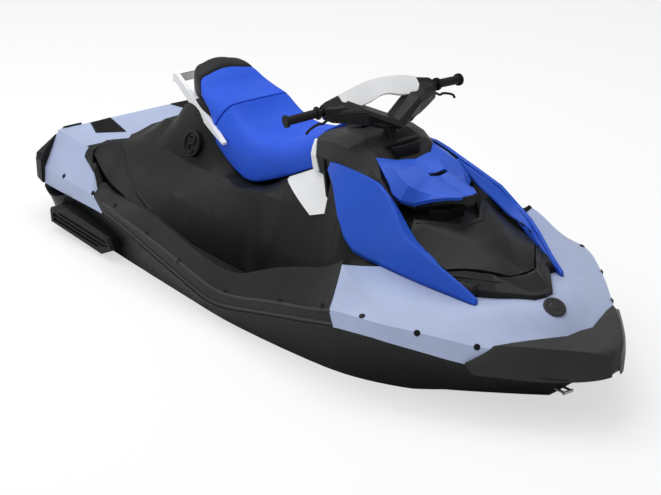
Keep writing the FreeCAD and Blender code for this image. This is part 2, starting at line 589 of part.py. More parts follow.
# Black lip under the cowl and the neck that carries it
JAW = [(1990, 157, 762), (2012, 150, 754), (2040, 116, 742), (2066, 102, 754), (2100, 90, 768),
       (2150, 56, 784), (2206, 30, 792)]
JAW_TOP, JAW_DEPTH, JAW_TUCK = 24.0, 14.0, 14.0
jaw = loft([section(x, [(0, z - JAW_DEPTH), (y - JAW_TUCK, z - JAW_DEPTH), (y + 3, z), (y, z + JAW_TOP),
                        (0, z + JAW_TOP)]) for x, y, z in JAW], True).cut(cowl)
NECK_TOP_Z = 745.0
neck = prism_z([(1995, -84), (2080, -84), (2120, -40), (2120, 40), (2080, 84), (1995, 84)], 660, NECK_TOP_Z)
neck = cut(neck, [hood, prism_z(outline(LID_OUT, RUN_GAP), 300, 734)])
cowl_base = fuse([jaw, neck])
save("cowl_base", max(cowl_base.Solids, key=lambda s: s.Volume))

# Slatted vent between the console and the cowl
SLATS = [(1772, 24, 76, 942), (1802, 20, 77, 924), (1828, 18, 66, 911)]
slat_foot = box(1780, 1846, -58, 58, 870, 905)
vent = fuse([box(x, x + wide, -half, half, z - 12, z) for x, wide, half, z in SLATS]
            + [box(x + 4, x + wide - 4, -50, 50, 880, z - 6) for x, wide, half, z in SLATS] + [slat_foot])
vent = cut(vent, [console, cowl])
save("vent_slats", max(vent.Solids, key=lambda s: s.Volume))

# Grab handle round the seat tail
HANDLE = [(960, 213, 718, 5), (870, 195, 743, 14), (780, 176, 768, 19), (600, 136, 816, 22),
          (470, 104, 850, 19)]
HANDLE_HALF = 10.0


def handle_section(x, y, z, rise):
    return [vec(x, y - HANDLE_HALF, z - rise), vec(x, y + HANDLE_HALF, z - rise),
            vec(x, y + HANDLE_HALF, z + rise), vec(x, y - HANDLE_HALF, z + rise)]


arm = loft([handle_section(*p) for p in HANDLE], True)
bar = box(446, 472, -114, 114, 832, 870)
handle_post = box(470, 500, -25, 25, 640, 840)
grab = fuse([arm, mirrored(arm), bar, handle_post])
grab = cut(grab, [pedestal, seat])
save("grab_handle", grab)

# Knee panels, thin skins on the seat base beside the front of the seat
KNEE = [(1352, 676), (1372, 720), (1528, 764), (1640, 764), (1692, 652), (1583, 612)]
KNEE_SKIN = 6.0
knee = loft([pedestal_section(x, -KNEE_SKIN) for x in PEDESTAL_X]).common(prism_y(KNEE, 100, 400))
knee = cut(knee, [flank, console, above_seat_line])
knee = max(knee.Solids, key=lambda s: s.Volume)
save("knee_panel_left", knee)
save("knee_panel_right", mirrored(knee))

# Handlebar with its hub, arms, cover and grips
hub = rod(along_column(COLUMN_FOOT), along_column(COLUMN_HEAD), COLUMN_R)
ARMS = [
    (0, [(1722, 962), (1787, 962), (1815, 972), (1800, 990), (1745, 1008), (1712, 992)]),
    (66, [(1715, 966), (1788, 963), (1808, 976), (1796, 1000), (1735, 1030), (1700, 1004)]),
    (120, [(1696, 976), (1752, 976), (1784, 995), (1770, 1024), (1702, 1062), (1680, 1022)]),
    (160, [(1684, 985), (1739, 995), (1760, 1015), (1738, 1054), (1676, 1088), (1662, 1036)]),
    (190, [(1672, 995), (1722, 1010), (1742, 1030), (1724, 1068), (1664, 1098), (1650, 1048)]),
    (235, [(1660, 1012), (1708, 1024), (1722, 1040), (1708, 1068), (1660, 1084), (1644, 1052)]),
    (268, [(1654, 1034), (1684, 1036), (1692, 1048), (1684, 1062), (1660, 1068), (1648, 1052)])]
arms = loft([[vec(x, y, z) for x, z in points] for y, points in ARMS], True)
stem = rod(vec(1672, 256, 1050), vec(1669.5, 285, 1048), 12)
handlebar = fuse([hub, arms, mirrored(arms), stem, mirrored(stem)])
grip_start, grip_end = vec(1669.5, 285, 1048), vec(1648, 422, 1036)
grip_dir = (grip_end - grip_start).normalize()
grip = fuse([rod(grip_start, grip_end, GRIP_R), rod(grip_start, grip_start + grip_dir * 8, GRIP_R + 8),
             rod(grip_end - grip_dir * 9, grip_end, GRIP_R + 7)])
COVER = [(186, 1664, 1099, 1704, 1060), (150, 1671, 1111, 1709, 1059), (110, 1668, 1120, 1705, 1066),
         (55, 1666, 1127, 1701, 1076), (0, 1665, 1130, 1704, 1083)]
COVER_SINK = 7.7
cover_rows = COVER + [(-row[0],) + row[1:] for row in reversed(COVER[:-1])]


def cover_section(y, x0, z0, x1, z1):
    return [vec(x0, y, z0), vec(x1, y, z1), vec(x1 - COVER_SINK, y, z1 - COVER_SINK),
            vec(x0 - COVER_SINK, y, z0 - COVER_SINK)]


cover = loft([cover_section(*row) for row in cover_rows], True).cut(handlebar)
grip = grip.cut(handlebar)
save("handlebar", handlebar)
save("handlebar_cover", cover)
save("grip_left", grip)
save("grip_right", mirrored(grip))
LEVER = [vec(1676, 262, 1048), vec(1700, 255, 1044), vec(1722, 300, 1040), vec(1716, 385, 1032)]
lever = fuse([rod(LEVER[0], LEVER[1], 6), rod(LEVER[1], LEVER[2], 5), rod(LEVER[2], LEVER[3], 5)])
lever = lever.cut(handlebar)
save("brake_lever", lever)
save("throttle_lever", mirrored(lever))

# Engine block, one plain mass on the floor of its bay
engine = box(ENGINE_X0, ENGINE_X1, -ENGINE_HALF, ENGINE_HALF, ENGINE_Z0, ENGINE_Z1)
save("engine", engine)

# Jet pump: housing, turning rotor and shaft, steering nozzle, reverse bucket, ride plate, intake grate
pump_front = duct_x - 0.5
housing = fuse([rod(vec(PUMP_REAR_X + 50, 0, SHAFT_Z), vec(pump_front, 0, SHAFT_Z), PUMP_BORE_R + PUMP_WALL),
                rod(vec(pump_front - 10, 0, SHAFT_Z), vec(pump_front, 0, SHAFT_Z), tunnel_r - 0.5).cut(
                    box(0, 1000, -200, 200, -100, SHAFT_Z - 80))])
OUTLET_R = 46.0
cone = Part.makeCone(PUMP_BORE_R + PUMP_WALL, OUTLET_R, 70, vec(PUMP_REAR_X + 50, 0, SHAFT_Z), vec(-1, 0, 0))
outlet = rod(vec(26, 0, SHAFT_Z), vec(45, 0, SHAFT_Z), OUTLET_R)
housing = fuse([housing, cone, outlet])
bore = rod(vec(PUMP_REAR_X + 52, 0, SHAFT_Z), vec(pump_front + 1, 0, SHAFT_Z), PUMP_BORE_R)
cone_bore = fuse([Part.makeCone(PUMP_BORE_R, OUTLET_R - 6, 70, vec(PUMP_REAR_X + 53, 0, SHAFT_Z),
                                vec(-1, 0, 0)),
                  rod(vec(20, 0, SHAFT_Z), vec(50, 0, SHAFT_Z), OUTLET_R - 6)])
NOZZLE_R_IN, NOZZLE_WALL = 62.0, 7.0
EAR_Z = NOZZLE_R_IN + NOZZLE_WALL + 5
ears = [box(NOZZLE_PIVOT_X - 12, PUMP_REAR_X + 62, -14, 14, SHAFT_Z + EAR_Z, SHAFT_Z + EAR_Z + 6),
        box(NOZZLE_PIVOT_X - 12, PUMP_REAR_X + 62, -14, 14, SHAFT_Z - EAR_Z - 6, SHAFT_Z - EAR_Z)]
BUCKET_X, BUCKET_Y = 25.0, 82.0
side_ear = box(BUCKET_X - 14, PUMP_REAR_X + 66, BUCKET_Y + 12, BUCKET_Y + 20, SHAFT_Z - 14, SHAFT_Z + 14)
web = box(PUMP_REAR_X + 46, PUMP_REAR_X + 66, 60, BUCKET_Y + 20, SHAFT_Z - 14, SHAFT_Z + 14)
housing = fuse([housing] + ears + both(side_ear) + both(web))
PIN_R = 6.0
pin_z = rod(vec(NOZZLE_PIVOT_X, 0, SHAFT_Z - 100), vec(NOZZLE_PIVOT_X, 0, SHAFT_Z + 100), PIN_R + PIN_GAP)
pin_y = rod(vec(BUCKET_X, -120, SHAFT_Z), vec(BUCKET_X, 120, SHAFT_Z), PIN_R + PIN_GAP)
HUB_R, HUB_REAR_X, HUB_FRONT_X = 28.0, PUMP_REAR_X + 56, PUMP_REAR_X + 114
stator_hub = fuse([rod(vec(HUB_REAR_X, 0, SHAFT_Z), vec(HUB_FRONT_X, 0, SHAFT_Z), HUB_R),
                   Part.makeCone(HUB_R, 8, 40, vec(HUB_REAR_X, 0, SHAFT_Z), vec(-1, 0, 0))])
vanes = []
for i in range(5):
    v = box(HUB_REAR_X + 8, HUB_FRONT_X - 4, -2.5, 2.5, SHAFT_Z + HUB_R - 3, SHAFT_Z + PUMP_BORE_R + 3)
    v.rotate(vec(0, 0, SHAFT_Z), vec(1, 0, 0), 72 * i + 36)
    vanes.append(v)
housing = cut(housing, [bore, cone_bore, pin_z, pin_y])
housing = fuse([housing, stator_hub] + vanes)
shaft_rear_x = HUB_REAR_X + 6
housing = housing.cut(rod(vec(shaft_rear_x, 0, SHAFT_Z), vec(400, 0, SHAFT_Z), SHAFT_R + PIN_GAP))
save("pump_housing", housing)
shaft = rod(vec(shaft_rear_x + SEAM, 0, SHAFT_Z), vec(ENGINE_X0 - BAY_GAP, 0, SHAFT_Z), SHAFT_R)
rotor_hub = rod(vec(HUB_FRONT_X + RUN_GAP, 0, SHAFT_Z), vec(HUB_FRONT_X + 106, 0, SHAFT_Z), HUB_R)
ROTOR_X = HUB_FRONT_X + 56
blade = box(ROTOR_X - 35, ROTOR_X + 35, -4, 4, SHAFT_Z + 24, SHAFT_Z + PUMP_BORE_R - RUN_GAP)
blades = []
for i in range(5):
    b = blade.copy()
    b.rotate(vec(ROTOR_X, 0, SHAFT_Z + 40), vec(0, 0, 1), 35)
    b.rotate(vec(0, 0, SHAFT_Z), vec(1, 0, 0), 72 * i)
    blades.append(b)
save("impeller", fuse([shaft, rotor_hub] + blades))
nozzle = fuse([Part.makeCone(52, NOZZLE_R_IN + NOZZLE_WALL, 50, vec(-35, 0, SHAFT_Z), vec(1, 0, 0)),
               rod(vec(15, 0, SHAFT_Z), vec(30, 0, SHAFT_Z), NOZZLE_R_IN + NOZZLE_WALL),
               rod(vec(NOZZLE_PIVOT_X, 0, SHAFT_Z + 60), vec(NOZZLE_PIVOT_X, 0, SHAFT_Z + EAR_Z + 6), PIN_R),
               rod(vec(NOZZLE_PIVOT_X, 0, SHAFT_Z - EAR_Z - 6), vec(NOZZLE_PIVOT_X, 0, SHAFT_Z - 60), PIN_R)])
nozzle = cut(nozzle, [rod(vec(14, 0, SHAFT_Z), vec(60, 0, SHAFT_Z), NOZZLE_R_IN),
                      Part.makeCone(44, NOZZLE_R_IN, 50.1, vec(-36, 0, SHAFT_Z), vec(1, 0, 0))])
save("steering_nozzle", nozzle)
BUCKET_R0, BUCKET_R1 = 96.0, 104.0
shell_outer = rod(vec(BUCKET_X, -BUCKET_Y - 6, SHAFT_Z), vec(BUCKET_X, BUCKET_Y + 6, SHAFT_Z), BUCKET_R1)
shell_inner = rod(vec(BUCKET_X, -BUCKET_Y, SHAFT_Z), vec(BUCKET_X, BUCKET_Y, SHAFT_Z), BUCKET_R0)
a0, a1 = math.radians(112), math.radians(166)
wedge = prism_y([(BUCKET_X, SHAFT_Z), (BUCKET_X + 200 * math.cos(a0), SHAFT_Z + 200 * math.sin(a0)),
                 (BUCKET_X + 200 * math.cos(a1), SHAFT_Z + 200 * math.sin(a1))], -110, 110)
bucket = shell_outer.common(wedge).cut(shell_inner)
boss = rod(vec(BUCKET_X, BUCKET_Y, SHAFT_Z), vec(BUCKET_X, BUCKET_Y + 6, SHAFT_Z), 13)
pin = rod(vec(BUCKET_X, BUCKET_Y, SHAFT_Z), vec(BUCKET_X, BUCKET_Y + 20, SHAFT_Z), PIN_R)
bucket = fuse([bucket] + both(boss) + both(pin))
save("reverse_bucket", bucket)
PLATE_TOP_Z = SHAFT_Z - PUMP_BORE_R - PUMP_WALL - SEAM
plate_edge = tunnel_r - SEAM
ride_plate = prism_x([(-plate_edge, 4), (plate_edge, 4), (plate_edge, 46), (plate_edge - 6, 46),
                      (plate_edge - 18, PLATE_TOP_Z), (18 - plate_edge, PLATE_TOP_Z), (6 - plate_edge, 46),
                      (-plate_edge, 46)], PUMP_REAR_X + 10, duct_x - 2)
save("ride_plate", ride_plate)
GRATE_Y = tunnel_r - 12 - SEAM
GRATE_Z, GRATE_RISE, GRATE_THICK = 4.0, 32.0, 11.0


def grate_z(y):
    return GRATE_Z + GRATE_RISE * abs(y) / GRATE_Y


cross = [(-GRATE_Y, grate_z(GRATE_Y)), (0, GRATE_Z), (GRATE_Y, grate_z(GRATE_Y)),
         (GRATE_Y, grate_z(GRATE_Y) + GRATE_THICK), (0, GRATE_Z + GRATE_THICK),
         (-GRATE_Y, grate_z(GRATE_Y) + GRATE_THICK)]
grate = fuse([prism_x(cross, duct_x + 20, duct_x + 34), prism_x(cross, duct_x + 380, duct_x + 394)]
             + [box(duct_x + 20, duct_x + 394, y - 5, y + 5, grate_z(y), grate_z(y) + GRATE_THICK)
                for y in (-52, 0, 52)])
save("intake_grate", grate)

# Side sponsons on the stern quarters
SPONSON = [(160, 288), (244, 322), (628, 293), (652, 268), (660, 250), (556, 198), (166, 224)]
SPONSON_FACE_Y, SPONSON_BACK_Y, SPONSON_BEVEL = 578.0, 470.0, 12.0
SPONSON_POCKET, SPONSON_FRAME = 8.0, 20.0


def grown(points, grow):
    """Outline in x and z stretched outward from its middle by grow on each side."""
    xs, zs = [p[0] for p in points], [p[1] for p in points]
    cx, cz = (max(xs) + min(xs)) / 2, (max(zs) + min(zs)) / 2
    kx, kz = 1 + 2 * grow / (max(xs) - min(xs)), 1 + 2 * grow / (max(zs) - min(zs))
    return [(cx + (x - cx) * kx, cz + (z - cz) * kz) for x, z in points]


def sponson_ring(y, grow):
    return [vec(x, y, z) for x, z in grown(SPONSON, grow)]


sponson = loft([sponson_ring(SPONSON_FACE_Y, -SPONSON_BEVEL), sponson_ring(SPONSON_FACE_Y - SPONSON_BEVEL, 0),
                sponson_ring(SPONSON_BACK_Y, 0)], True)
pocket = prism_y(grown(SPONSON, -SPONSON_BEVEL - SPONSON_FRAME), SPONSON_FACE_Y - SPONSON_POCKET, 700)
ribs = [prism_y([(180, z), (660, z - 22), (660, z - 28), (180, z - 6)], 400, SPONSON_FACE_Y - 2)
        for z in (282, 262)]
sponson = sponson.cut(cut(pocket, ribs))
sponson = sponson.cut(hull)
sponson = max(sponson.Solids, key=lambda s: s.Volume)
save("sponson_left", sponson)
save("sponson_right", mirrored(sponson))

# Fuel filler cap on the shoulder of the seat base
FILLER_R, FILLER_RISE, FILLER_SUNK = 54.0, 16.0, 20.0
filler_mid, filler_axis = vec(747, -214, 658), vec(-0.02, -0.96, 0.29)
filler = rod(filler_mid - filler_axis * FILLER_SUNK, filler_mid + filler_axis * FILLER_RISE, FILLER_R)
filler = filler.cut(pedestal)
save("filler_cap", max(filler.Solids, key=lambda s: s.Volume))

# Bow eye, stern eyes and drain plugs
EYE_BAR_R, EYE_CROSS_R, EYE_OVERHANG = 5.0, 5.6, 2.0


def eye_loop(x0, x1, y, half, z):
    """Two bars from x0 to x1 on each side of y, joined by a cross bar at x1."""
    end = half + EYE_BAR_R + EYE_OVERHANG
    return [rod(vec(x0, y - half, z), vec(x1, y - half, z), EYE_BAR_R),
            rod(vec(x0, y + half, z), vec(x1, y + half, z), EYE_BAR_R),
            rod(vec(x1, y - end, z), vec(x1, y + end, z), EYE_CROSS_R)]


bow_eye = fuse(eye_loop(2670, 2744, 0, 16, 236)).cut(hull)
save("bow_eye", max(bow_eye.Solids, key=lambda s: s.Volume))
EYE_Y, EYE_Z, EYE_HALF, EYE_PLATE = 215.0, 300.0, 22.0, 12.0
eye = fuse(eye_loop(0, -30, EYE_Y, EYE_HALF, EYE_Z)
           + [box(-4, 0, EYE_Y - EYE_HALF - EYE_PLATE, EYE_Y + EYE_HALF + EYE_PLATE, EYE_Z - EYE_PLATE,
                  EYE_Z + EYE_PLATE)])
save("stern_eye_left", eye)
save("stern_eye_right", mirrored(eye))
PLUG_Y, PLUG_Z, PLUG_R = 130.0, 250.0, 20.0
plug = fuse([rod(vec(0, PLUG_Y, PLUG_Z), vec(-8, PLUG_Y, PLUG_Z), PLUG_R),
             box(-18, -8, PLUG_Y - 3, PLUG_Y + 3, PLUG_Z - 14, PLUG_Z + 14)])
save("drain_plug_left", plug)
save("drain_plug_right", mirrored(plug))

# Gauge on the console behind the bars
GAUGE_X, GAUGE_HALF = 1590.0, 56.0
gauge = loft([
    [vec(GAUGE_X - 45, -GAUGE_HALF, 915), vec(GAUGE_X - 45, GAUGE_HALF, 915),
     vec(GAUGE_X - 40, GAUGE_HALF - 4, 945), vec(GAUGE_X - 40, -GAUGE_HALF + 4, 945)],
    [vec(GAUGE_X + 45, -GAUGE_HALF, 915), vec(GAUGE_X + 45, GAUGE_HALF, 915),
     vec(GAUGE_X + 40, GAUGE_HALF - 4, 975), vec(GAUGE_X + 40, -GAUGE_HALF + 4, 975)]], True)
save("gauge", gauge.cut(console))
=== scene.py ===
import bpy
import bmesh
import math
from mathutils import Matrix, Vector


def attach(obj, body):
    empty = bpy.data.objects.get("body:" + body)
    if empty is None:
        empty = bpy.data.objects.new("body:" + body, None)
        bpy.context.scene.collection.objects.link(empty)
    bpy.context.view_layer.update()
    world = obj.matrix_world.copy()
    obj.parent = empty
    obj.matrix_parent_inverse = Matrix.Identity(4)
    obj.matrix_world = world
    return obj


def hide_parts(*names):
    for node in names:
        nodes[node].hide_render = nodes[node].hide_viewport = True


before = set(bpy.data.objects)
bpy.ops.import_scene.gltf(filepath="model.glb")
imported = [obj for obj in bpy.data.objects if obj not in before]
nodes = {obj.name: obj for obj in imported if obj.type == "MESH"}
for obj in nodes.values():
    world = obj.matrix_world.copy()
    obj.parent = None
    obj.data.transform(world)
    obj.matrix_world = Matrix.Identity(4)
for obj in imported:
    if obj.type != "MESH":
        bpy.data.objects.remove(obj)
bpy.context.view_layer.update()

# Hull: one hollow moulding of black glass-filled polymer with a fine grained skin, vee bottom and
# flat chines. It comes out of its mould with soft edges and meets the deck at a thin joint line.

GRAIN_DEPTH = 0.0006
WELD_GAP = 0.00004
EVEN_WEIGHT = 80
TUCK_FROM, TUCK_SHARE = 0.56, 0.78


def level(value):
    return (value,) * 4


def shade(colour, amount, lift=0.0):
    return tuple(min(1.0, c * amount + lift) for c in colour) + (1.0,)


def ramp(tree, source, low, high, start=0.3, stop=0.7):
    """Colour that turns from low to high while a pattern rises from start to stop."""
    node = tree.nodes.new("ShaderNodeValToRGB")
    node.color_ramp.elements[0].position, node.color_ramp.elements[1].position = start, stop
    node.color_ramp.elements[0].color, node.color_ramp.elements[1].color = low, high
    tree.links.new(source, node.inputs["Fac"])
    return node.outputs["Color"]


def noise(tree, scale, detail=3.0, stretch=(1, 1, 1)):
    coord = tree.nodes.new("ShaderNodeTexCoord")
    mapping = tree.nodes.new("ShaderNodeMapping")
    mapping.inputs["Scale"].default_value = stretch
    texture = tree.nodes.new("ShaderNodeTexNoise")
    texture.inputs["Scale"].default_value = scale
    texture.inputs["Detail"].default_value = detail
    tree.links.new(coord.outputs["Object"], mapping.inputs["Vector"])
    tree.links.new(mapping.outputs["Vector"], texture.inputs["Vector"])
    return texture.outputs["Fac"]


def mix(tree, factor, a, b):
    node = tree.nodes.new("ShaderNodeMix")
    node.data_type = "RGBA"
    tree.links.new(factor, node.inputs["Factor"])
    tree.links.new(a, node.inputs["A"])
    tree.links.new(b, node.inputs["B"])
    return node.outputs["Result"]


def blank(name, gleam):
    """New material with its node tree and its shader."""
    mat = bpy.data.materials.new(name)
    mat.use_nodes = True
    shader = mat.node_tree.nodes["Principled BSDF"]
    shader.inputs["Specular IOR Level"].default_value = gleam
    return mat, mat.node_tree, shader


def grained(tree, shader, pattern, strength):
    """Fine relief of a skin from the height of a pattern."""
    bump = tree.nodes.new("ShaderNodeBump")
    bump.inputs["Strength"].default_value = strength
    bump.inputs["Distance"].default_value = GRAIN_DEPTH
    tree.links.new(pattern, bump.inputs["Height"])
    tree.links.new(bump.outputs["Normal"], shader.inputs["Normal"])


def moulded(name, colour, rough, grain=0.12, grain_scale=900.0, spread=0.12, scuffs=0.25,
            metal=0.0, gleam=0.13):
    """Moulded or cast skin: mottled colour, pebbled grain, a painted highlight that lightens its convex
    edges, and faint handling scuffs.
    """
    mat, tree, shader = blank(name, gleam)
    shader.inputs["Metallic"].default_value = metal
    mottle = ramp(tree, noise(tree, scale=9.0, detail=4.0), shade(colour, 1 - spread),
                  shade(colour, 1 + spread))
    specks = ramp(tree, noise(tree, scale=420.0, detail=2.0), shade(colour, 0.86), shade(colour, 1.14),
                  start=0.4, stop=0.6)
    body = mix(tree, ramp(tree, noise(tree, scale=60.0), level(0.1), level(0.45)), mottle, specks)
    geometry = tree.nodes.new("ShaderNodeNewGeometry")
    # Convex edges, found by pointiness, are lightened by a quarter: a painted highlight along them.
    edges = ramp(tree, geometry.outputs["Pointiness"], (0, 0, 0, 1), level(0.5), start=0.53, stop=0.62)
    edge_highlight = tree.nodes.new("ShaderNodeRGB")
    edge_highlight.outputs[0].default_value = shade(colour, 1.25, lift=0.005)
    tree.links.new(mix(tree, edges, body, edge_highlight.outputs[0]), shader.inputs["Base Color"])
    scratches = noise(tree, scale=26.0, detail=6.0, stretch=(1.0, 9.0, 14.0))
    scuffed = ramp(tree, scratches, level(rough - 0.05), level(min(1.0, rough + scuffs * 0.4)),
                   start=0.42, stop=0.7)
    tree.links.new(scuffed, shader.inputs["Roughness"])
    grained(tree, shader, noise(tree, scale=grain_scale, detail=2.0), grain)
    return mat


def joined(node, flat):
    """Copy of a node's mesh with its loose triangles joined and its nearly flat faces made whole."""
    bm = bmesh.new()
    bm.from_mesh(nodes[node].data)
    bmesh.ops.remove_doubles(bm, verts=bm.verts, dist=WELD_GAP)
    bmesh.ops.dissolve_limit(bm, angle_limit=math.radians(flat), verts=bm.verts, edges=bm.edges)
    return bm


def finish_mesh(bm, name, material):
    data = bpy.data.meshes.new(name)
    bmesh.ops.recalc_face_normals(bm, faces=bm.faces)
    bm.to_mesh(data)
    bm.free()
    data.materials.clear()
    data.materials.append(material)
    for face in data.polygons:
        face.use_smooth = True
        face.material_index = 0
    piece = bpy.data.objects.new(name, data)
    bpy.context.scene.collection.objects.link(piece)
    return piece


def ease_corners(bm, radius, angle, segments, slide=True):
    """Rounds each edge that turns by more than an angle in degrees."""
    sharp = [e for e in bm.edges if e.calc_face_angle(0) > math.radians(angle)]
    bmesh.ops.bevel(bm, geom=sharp, offset=radius, segments=segments, profile=0.6, affect="EDGES",
                    clamp_overlap=True, loop_slide=slide)


def even_normals(piece, weight):
    """Flat faces shade flat and only the rounded corners between them turn."""
    modifier = piece.modifiers.new("soft_normals", "WEIGHTED_NORMAL")
    modifier.keep_sharp = False
    modifier.weight = weight
    return piece


def eased(node, name, material, radius, angle=24.0, flat=1.2):
    """Stand-in for a rigid node whose corners are rounded as a moulding's are."""
    bm = joined(node, flat)
    ease_corners(bm, radius, angle, segments=3)
    return even_normals(finish_mesh(bm, name, material), EVEN_WEIGHT)


def fit(piece, body, slot, *replaced):
    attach(piece, body)
    if replaced:
        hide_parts(*replaced)
    return piece


def tucked(piece):
    """Draws the widest part of a side in by a few millimetres, so that its trim keeps within the beam."""
    for corner in piece.data.vertices:
        reach = abs(corner.co.y)
        if reach > TUCK_FROM:
            corner.co.y = math.copysign(TUCK_FROM + (reach - TUCK_FROM) * TUCK_SHARE, corner.co.y)
    return piece


hull_black = moulded("hull_black", (0.0072, 0.0075, 0.0084), rough=0.42, grain=0.10, grain_scale=700.0,
                     gleam=0.10)
fit(tucked(eased("hull", "hull_moulding", hull_black, radius=0.006)), "craft", "hull_plastic", "hull")

# Engine and jet drive: an engine block sealed inside the hull, a cast alloy pump with its stator, a
# stainless impeller on its shaft, a polymer steering nozzle and reverse bucket, plate and grate.

cast_alloy = moulded("cast_alloy", (0.50, 0.51, 0.53), rough=0.5, grain=0.35, grain_scale=420.0, metal=0.9)
stainless = moulded("stainless", (0.58, 0.58, 0.57), rough=0.28, grain=0.04, grain_scale=1500.0, metal=1.0)
engine_paint = moulded("engine_paint", (0.12, 0.12, 0.125), rough=0.5, grain=0.3, grain_scale=300.0,
                       metal=0.3)
drive_black = moulded("drive_black", (0.035, 0.036, 0.038), rough=0.5, grain=0.2, grain_scale=600.0)


def paint_nodes(material, *names):
    for name in names:
        nodes[name].data.materials.clear()
        nodes[name].data.materials.append(material)


paint_nodes(engine_paint, "engine")
paint_nodes(cast_alloy, "pump_housing", "intake_grate")
paint_nodes(stainless, "impeller")
paint_nodes(drive_black, "steering_nozzle", "reverse_bucket")
fit(eased("ride_plate", "ride_plate_casting", cast_alloy, radius=0.003), "craft", "cast_alloy", "ride_plate")

# Seat base and footwells: black polymer mouldings with a dull grain, the base waisted for the rider's
# shins and carrying the seat along its top, the floors running up to the stern deck.

SIDES = (("left", 1), ("right", -1))

deck_black = moulded("deck_black", (0.0098, 0.0102, 0.0105), rough=0.44, grain=0.16, grain_scale=620.0)
fit(eased("pedestal", "seat_base", deck_black, radius=0.008, angle=14.0), "craft", "black_plastic",
    "pedestal")
for side, _ in SIDES:
    fit(eased("footwell_" + side, "footwell_floor_" + side, deck_black, radius=0.006), "craft",
        "black_plastic", "footwell_" + side)

# Side bands: charcoal polymer mouldings along each edge of the deck, crisp crease outside, rolled rim
# inside, held to the hull by a row of push rivets.

STERN_X, KEEL_Z = 1.4, 0.187
# Rivet heads: sides, each part's lower and upper share of the radius, the flange's share of the height
HEAD_SIDES = 24
FLANGE_SHARES, DOME_SHARES = (1.0, 0.86), (0.62, 0.34)
FLANGE_HIGH = 0.5
BEAD_SIDES = 8
# The formula of the smooth line gives twice its point, in millimetres
HALF_MM = 0.0005

band_charcoal = moulded("band_charcoal", (0.0130, 0.0134, 0.0138), rough=0.40, grain=0.14, grain_scale=640.0)
# Lighter grey of the crease roll and rub strip beads: a painted highlight along them on the dark bands.
highlight_grey = moulded("highlight_grey", (0.034, 0.0345, 0.035), rough=0.40, grain=0.14, grain_scale=640.0)
rivet_black = moulded("rivet_black", (0.006, 0.006, 0.006), rough=0.34, grain=0.05, grain_scale=1200.0)


def yard(x, y, z):
    """Point given from the stern and the keel, in the craft's own frame."""
    return Vector((x - STERN_X, y, z - KEEL_Z))


def mm(x, y, z):
    """The same in millimetres."""
    return yard(x / 1000.0, y / 1000.0, z / 1000.0)


def from_stern(x):
    """Millimetres from the stern to an x of the craft's own frame."""
    return x * 1000 + STERN_X * 1000


def shaped(piece):
    """A piece as its modifiers leave it."""
    bpy.context.view_layer.update()
    return piece.evaluated_get(bpy.context.evaluated_depsgraph_get())


def settle(target, spots):
    """Nearest points of a piece to rough spots, with the directions in which its surface faces."""
    surface = shaped(target)
    found = []
    for spot in spots:
        _, place, facing, _ = surface.closest_point_on_mesh(Vector(spot))
        found.append((place, facing))
    return found


def times(tree, source, share):
    node = tree.nodes.new("ShaderNodeMath")
    node.operation = "MULTIPLY"
    node.inputs[1].default_value = share
    tree.links.new(source, node.inputs[0])
    return node.outputs[0]


def new_group(name, given, sizes, made):
    """Empty node group that takes a shape and named sizes and gives a shape."""
    tree = bpy.data.node_groups.new(name, "GeometryNodeTree")
    tree.interface.new_socket(given, in_out="INPUT", socket_type="NodeSocketGeometry")
    for label in sizes:
        tree.interface.new_socket(label, in_out="INPUT", socket_type="NodeSocketFloat")
    tree.interface.new_socket(made, in_out="OUTPUT", socket_type="NodeSocketGeometry")
    return tree, tree.nodes.new("NodeGroupInput").outputs


def grown(name, tree, shape, material, data, sizes):
    """Plain mesh of the shape that a node group makes from points or lines."""
    real, paint = tree.nodes.new("GeometryNodeRealizeInstances"), tree.nodes.new("GeometryNodeSetMaterial")
    paint.inputs["Material"].default_value = material
    tree.links.new(shape, real.inputs[0])
    tree.links.new(real.outputs[0], paint.inputs["Geometry"])
    tree.links.new(paint.outputs[0], tree.nodes.new("NodeGroupOutput").inputs[0])
    piece = bpy.data.objects.new(name, data)
    bpy.context.scene.collection.objects.link(piece)
    modifier = piece.modifiers.new("grown", "NODES")
    modifier.node_group = tree
    for socket in tree.interface.items_tree:
        if socket.name in sizes:
            modifier[socket.identifier] = sizes[socket.name]
    made = bpy.data.meshes.new_from_object(shaped(piece))
    piece.modifiers.clear()
    piece.data = made
    return piece


def rivets(name, spots, radius, height, material):
    """Round flanged heads at spots, each a (place, facing) pair."""
    tree, given = new_group(name, "Places", ("Head radius", "Head height"), "Heads")
    new, link = tree.nodes.new, tree.links.new
    flange, dome = new("GeometryNodeMeshCone"), new("GeometryNodeMeshCone")
    for cone, shares in ((flange, FLANGE_SHARES), (dome, DOME_SHARES)):
        cone.inputs["Vertices"].default_value = HEAD_SIDES
        for label, share in zip(("Radius Bottom", "Radius Top"), shares):
            link(times(tree, given["Head radius"], share), cone.inputs[label])
    link(times(tree, given["Head height"], FLANGE_HIGH), flange.inputs["Depth"])
    link(given["Head height"], dome.inputs["Depth"])
    head = new("GeometryNodeJoinGeometry")
    link(flange.outputs["Mesh"], head.inputs[0])
    link(dome.outputs["Mesh"], head.inputs[0])
    facing, turn = new("GeometryNodeInputNamedAttribute"), new("FunctionNodeAlignRotationToVector")
    facing.data_type = "FLOAT_VECTOR"
    facing.inputs["Name"].default_value = "facing"
    turn.axis = "Z"
    link(facing.outputs["Attribute"], turn.inputs["Vector"])
    heads = new("GeometryNodeInstanceOnPoints")
    link(given["Places"], heads.inputs["Points"])
    link(head.outputs[0], heads.inputs["Instance"])
    link(turn.outputs["Rotation"], heads.inputs["Rotation"])
    data = bpy.data.meshes.new(name)
    data.from_pydata([tuple(place) for place, _ in spots], [], [])
    field = data.attributes.new("facing", "FLOAT_VECTOR", "POINT")
    for i, (_, normal) in enumerate(spots):
        field.data[i].vector = normal
    return grown(name, tree, heads.outputs[0], material, data, {"Head radius": radius, "Head height": height})


